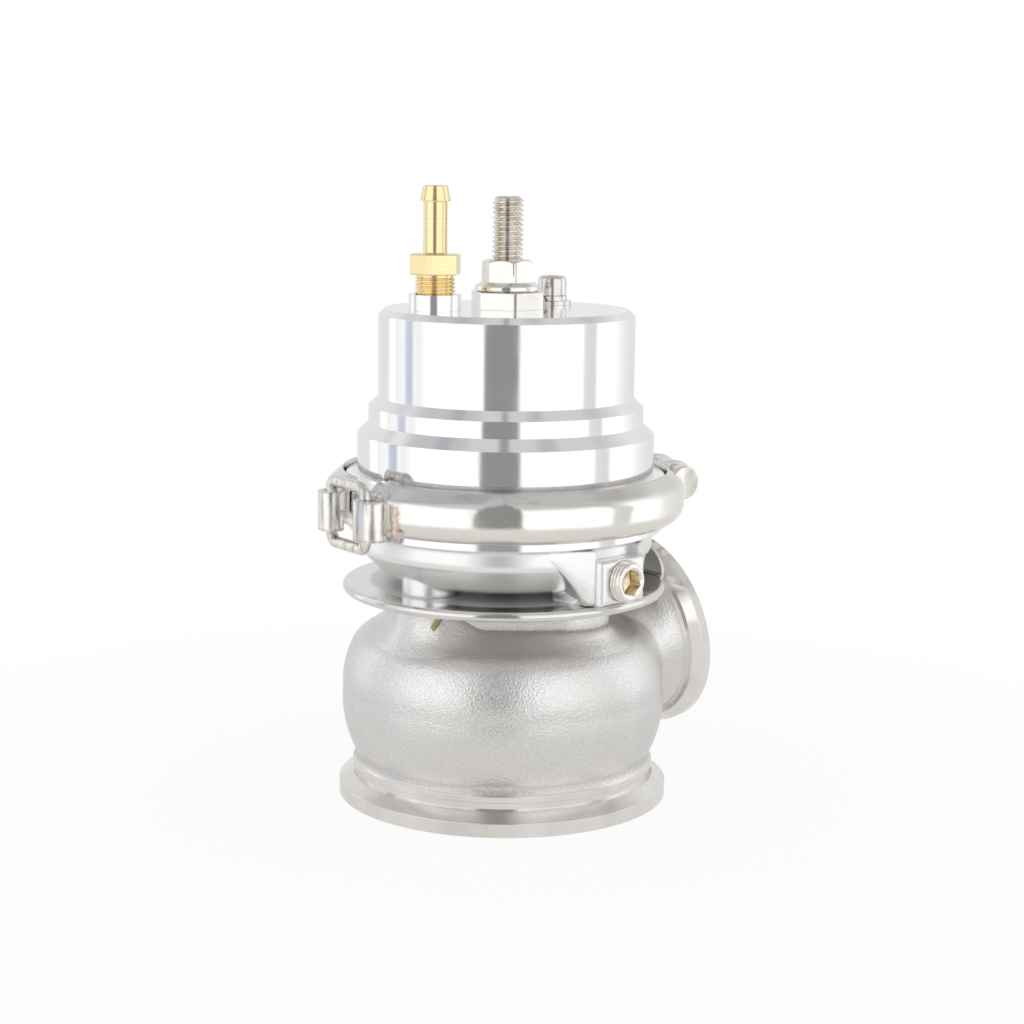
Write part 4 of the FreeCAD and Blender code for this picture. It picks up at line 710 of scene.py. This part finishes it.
def closing_bolt():
    """Round-headed M6 bolt with a domed edge; its thread shows beyond the nut."""
    washer = 0.8
    seat = -BOLT_LUG_FAR - 0.3 - washer - 0.1
    top = seat - 3.2
    tail = BOLT_LUG_FAR + CLAMP_NUT_HEIGHT + 7.0
    thread = BOLT_LUG_FAR + 4.0
    rings = rounded([(top, 0.0), (top, 4.3), (top + 0.5, 4.7), (seat, 4.7),
                     (seat, CLAMP_THREAD_R)], 0.3)
    rings += [(thread - 0.2, CLAMP_THREAD_R)]
    rings += thread_rings(CLAMP_THREAD_R, CLAMP_PITCH, thread, tail - 0.05, tip=0.7)
    rings += [(tail, 2.2), (tail, 0.0)]
    spun("clamp_bolt_body", rings, "clamp_bolt", along_bolt())


def closing_nut():
    """Plain M6 nut on the clamp bolt."""
    low = BOLT_LUG_FAR
    high = low + CLAMP_NUT_HEIGHT
    rings = [(low, 3.1)] + hexagon_rings(10.0, 10.0, low, high)
    rings += [(high, 3.6), (high - 0.6, 3.06)]
    spun("clamp_nut_body", rings, "clamp_nut", along_bolt(), joined=True)


def grid_piece(name, rows, node, ring=False, crease=40.0):
    """Sheet through rows of points in millimetres; with ring each row is a closed loop."""
    shape = bmesh.new()
    verts = [[shape.verts.new(Vector(point) * MM) for point in row] for row in rows]
    for lower, upper in zip(verts, verts[1:]):
        count = len(lower)
        for k in range(count if ring else count - 1):
            n = (k + 1) % count
            shape.faces.new((lower[k], lower[n], upper[n], upper[k]))
    if ring:
        shape.faces.new(verts[0])
        shape.faces.new(verts[-1])
    bmesh.ops.recalc_face_normals(shape, faces=shape.faces)
    return finished(name, shape, node, stands_for=False, crease=crease)


def strap_weld():
    """Lumpy bead where the front loop's strap is welded to the band."""
    turn = math.radians(WELD_DIRECTION)
    length = 8.2
    foot_r = 46.7
    along = 60
    across = 14
    rows = []
    for i in range(along + 1):
        share = i / along
        z = JOINT_Z + LOOP_Z + (share - 0.5) * length
        ends = max(0.0, 1.0 - abs(2 * share - 1.0) ** 5) ** 0.5
        drop = 0.5 + 0.5 * math.cos(share * 2 * math.pi * 5.0 + 0.7 * math.sin(share * 9.0))
        wander = 0.22 * math.sin(share * 17.0) + 0.12 * math.sin(share * 41.0)
        row = []
        for k in range(across + 1):
            bend = math.pi * k / across
            lump = 1.0 + 0.10 * math.sin(share * 53.0 + 2.0 * k)
            side = -1.25 * math.cos(bend) * (0.65 + 0.35 * ends) * (0.85 + 0.15 * drop) + wander
            reach = foot_r + (0.70 + 0.26 * drop) * ends * math.sin(bend) * lump
            angle = turn + side / (foot_r + 0.3)
            row.append((reach * math.cos(angle), reach * math.sin(angle), z))
        rows.append(row)
    grid_piece("strap_weld", rows, "clamp_front_half", crease=180.0)


def port_fairing(side):
    """Swept flank that carries the bowl's wall down into the port boss."""
    rows = []
    steps = 40
    for i in range(steps + 1):
        share = i / steps
        apart = FAIRING_START + (FAIRING_END - FAIRING_START) * share
        reach = BOWL_WALL_R - 0.08 + 2.6 * (1.0 - share) ** 3.0
        fall = max(0.0, min(1.0, (apart - FAIRING_FOOT) / (FAIRING_END - FAIRING_FOOT)))
        climb = 1.0 - (1.0 - fall) ** 2.3
        low = SHIELD_TOP + 0.05 + (BOWL_WALL_FOOT + 1.2 - SHIELD_TOP) * climb
        cone = min(BOWL_WALL_R - 1.6,
                   BOWL_CONE_R + max(0.0, low - SHIELD_TOP - BOWL_CONE_FOOT))
        angle = PORT_TURN + side * math.radians(apart)
        profile = [(reach, BOWL_WALL_TOP), (reach, (BOWL_WALL_TOP + low) / 2), (reach, low + 1.3),
                   (reach - 0.12, low + 0.75), (reach - 0.45, low + 0.3), (reach - 1.0, low + 0.05),
                   (cone - 0.6, low + 0.3), (BOWL_WALL_R - 1.2, BOWL_WALL_TOP)]
        rows.append([(r * math.cos(angle), r * math.sin(angle), z) for r, z in profile])
    name = "port_fairing_" + ("left" if side < 0 else "right")
    grid_piece(name, rows, "actuator_base", ring=True)


def crown_blend():
    """Cast fillet between the domed crown and the square flange; it climbs on one side."""
    skin = nodes["valve_housing"].data
    tree = BVHTree.FromPolygons([v.co for v in skin.vertices],
                                [list(p.vertices) for p in skin.polygons])

    def height(reach, angle):
        """Height of the casting's upper skin at a place."""
        spot = Vector((reach * math.cos(angle), reach * math.sin(angle), 200.0)) * MM
        return tree.ray_cast(spot, Vector((0.0, 0.0, -1.0)))[0].z / MM

    rows = []
    steps = 170
    across = 16
    for i in range(steps + 1):
        share = i / steps
        angle = math.radians(NECK_CLEAR_FROM + (NECK_CLEAR_TO - NECK_CLEAR_FROM) * share)
        fade = min(1.0, share * 14.0, (1.0 - share) * 14.0)
        edge = 38.0
        while height(edge, angle) < FLANGE_TOP - 1.5 and edge > 24.0:
            edge -= 0.25
        away = abs((math.degrees(angle) - CREST_DIRECTION + 180.0) % 360.0 - 180.0)
        climb = max(0.0, min(1.0, (CREST_HALF - away) / CREST_FADE))
        climb = climb * climb * (3.0 - 2.0 * climb)
        target = FLANGE_FOOT - 0.1 + (FLANGE_TOP - FLANGE_FOOT) * climb
        base = height(edge + 0.4, angle)
        lift = fade * max(0.0, target - base)
        top = [(edge - 0.8, base + lift)]
        for k in range(across + 1):
            out = k / across
            reach = edge + 0.4 + (BODY_HIGH_R - 0.3 - edge) * out
            sunk = 0.03 + 0.1 * out
            top.append((reach, height(reach, angle) + lift * (1.0 - out) ** 4.0 - sunk))
        under = [(reach, min(z, height(reach, angle)) - 1.4) for reach, z in top[:0:-3]]
        under.append((edge - 0.8, base - 1.4))
        rows.append([(r * math.cos(angle), r * math.sin(angle), z) for r, z in top + under])
    grid_piece("crown_blend", rows, "valve_housing", ring=True)


def coil_spring(node):
    """Copy of a spring's mesh on its node's body, standing in for the node."""
    shape = bmesh.new()
    shape.from_mesh(nodes[node].data)
    coil = finished(node + "_coil", shape, node, crease=40.0)
    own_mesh(coil)


threaded_stud()
flanged_lock_nut()
top_bush()
brass_barb()
vent_cap_screw()
threaded_plug()
closing_bolt()
closing_nut()
strap_weld()
port_fairing(-1)
port_fairing(1)
crown_blend()
coil_spring("inner_spring")
coil_spring("outer_spring")


# ---- studio ---------------------------------------------------------------------------
def studio_world():
    """Soft white panels round the object with darker gaps between them.

    The stops are degrees from the front, to the right, each with its grey or colour.
    """
    world = bpy.data.worlds.new("studio")
    bpy.context.scene.world = world
    world.use_nodes = True
    sky = Finish(world.node_tree)
    direction = sky.node("ShaderNodeTexCoord").outputs["Generated"]
    x, y, z = sky.split(direction)
    turn = sky.math("ARCTAN2", x, 0.0 - y)
    around = turn * (0.5 / math.pi) + 0.5
    stops = [(-180, 0.66), (-150, 0.62), (-131, 0.62), (-125, 1.0), (-119, 1.0), (-116, 0.72),
             (-102, 0.84), (-100, (0.44, 0.46, 0.58)), (-92, (0.38, 0.41, 0.50)), (-90, 0.92),
             (-86, 0.70), (-77, 0.86), (-75, 1.0), (-20.5, 1.0), (-18.5, 0.17), (10.5, 0.17),
             (12.5, 1.0), (71, 1.0), (73, 0.60), (86, 0.55), (88, 1.0), (112, 1.0), (118, 0.80),
             (135, 0.66), (156, 0.60), (180, 0.66)]
    stops = [((degrees + 180.0) / 360.0, grey) for degrees, grey in stops]
    panels = sky.node("ShaderNodeValToRGB", {"stops": stops}, Fac=around)
    overhead = z.rises(0.50, 0.75)
    under = (0.0 - z).rises(0.24, 0.40)
    ceiling = sky.mix(0.62, panels.outputs[0], (0.20, 0.20, 0.21))
    colour = sky.mix(overhead, panels.outputs[0], ceiling)
    colour = sky.mix(under, colour, (0.92, 0.90, 0.87))
    lit = sky.node("ShaderNodeBackground", Color=colour, Strength=1.25)
    seen = sky.node("ShaderNodeBackground", Color=(1.0, 1.0, 1.0), Strength=1.0)
    path = sky.node("ShaderNodeLightPath")
    glossy = Value(sky, path.outputs["Is Glossy Ray"])
    through = Value(sky, path.outputs["Is Transmission Ray"])
    white = Value(sky, path.outputs["Is Camera Ray"]) + glossy * 0.1 + through * 0.1
    both = sky.node("ShaderNodeMixShader", Fac=white.clamped())
    sky.plug(both.inputs[1], lit.outputs[0])
    sky.plug(both.inputs[2], seen.outputs[0])
    sky.node("ShaderNodeOutputWorld", Surface=both.outputs[0])


def studio_floor():
    """Pale floor that the camera sees almost white, with a faint shadow."""
    reach = 0.27
    mesh = bpy.data.meshes.new("floor")
    turns = [2 * math.pi * k / AROUND for k in range(AROUND)]
    corners = [(reach * math.cos(turn), reach * math.sin(turn), 0) for turn in turns]
    mesh.from_pydata(corners, [], [tuple(range(AROUND))])
    floor = bpy.data.objects.new("floor", mesh)
    floor.location.z = -0.0002
    bpy.context.scene.collection.objects.link(floor)
    material = bpy.data.materials.new("floor_paper")
    material.use_nodes = True
    paper = Finish(material.node_tree)
    fibre = paper.noise(60.0, paper.place(), detail=3.0)
    tone = paper.mix(fibre, (0.86, 0.84, 0.81), (0.88, 0.86, 0.83))
    matt = paper.node("ShaderNodeBsdfDiffuse", Color=tone)
    glow = paper.node("ShaderNodeEmission", Color=(1.0, 1.0, 1.0), Strength=1.0)
    path = paper.node("ShaderNodeLightPath")
    direct = Value(paper, path.outputs["Is Camera Ray"])
    glossy = Value(paper, path.outputs["Is Glossy Ray"])
    through = Value(paper, path.outputs["Is Transmission Ray"])
    x, y, _ = paper.split(paper.place())
    far = ((x * x + y * y) ** 0.5).rises(0.08, 0.25)
    share = direct * (0.93 + 0.07 * far) + glossy * 0.5 + through * 0.5
    both = paper.node("ShaderNodeMixShader", Fac=share.clamped())
    paper.plug(both.inputs[1], matt.outputs[0])
    paper.plug(both.inputs[2], glow.outputs[0])
    paper.node("ShaderNodeOutputMaterial", Surface=both.outputs[0])
    mesh.materials.append(material)


def camera():
    """Camera in front of the part, a little above it and looking down."""
    lens = bpy.data.cameras.new("camera")
    lens.sensor_width = 36.0
    lens.lens = 73.95
    lens.shift_x = 0.00703
    view = bpy.data.objects.new("camera", lens)
    pitch = math.radians(90.0 - 9.81)
    roll = math.radians(0.63)
    view.matrix_world = (Matrix.Translation(Vector((0.0, -546.3, 169.4)) * MM)
                         @ Matrix.Rotation(pitch, 4, "X") @ Matrix.Rotation(roll, 4, "Z"))
    bpy.context.scene.collection.objects.link(view)
    bpy.context.scene.camera = view


studio_world()
studio_floor()
camera()
bpy.context.scene.view_settings.view_transform = "Standard"
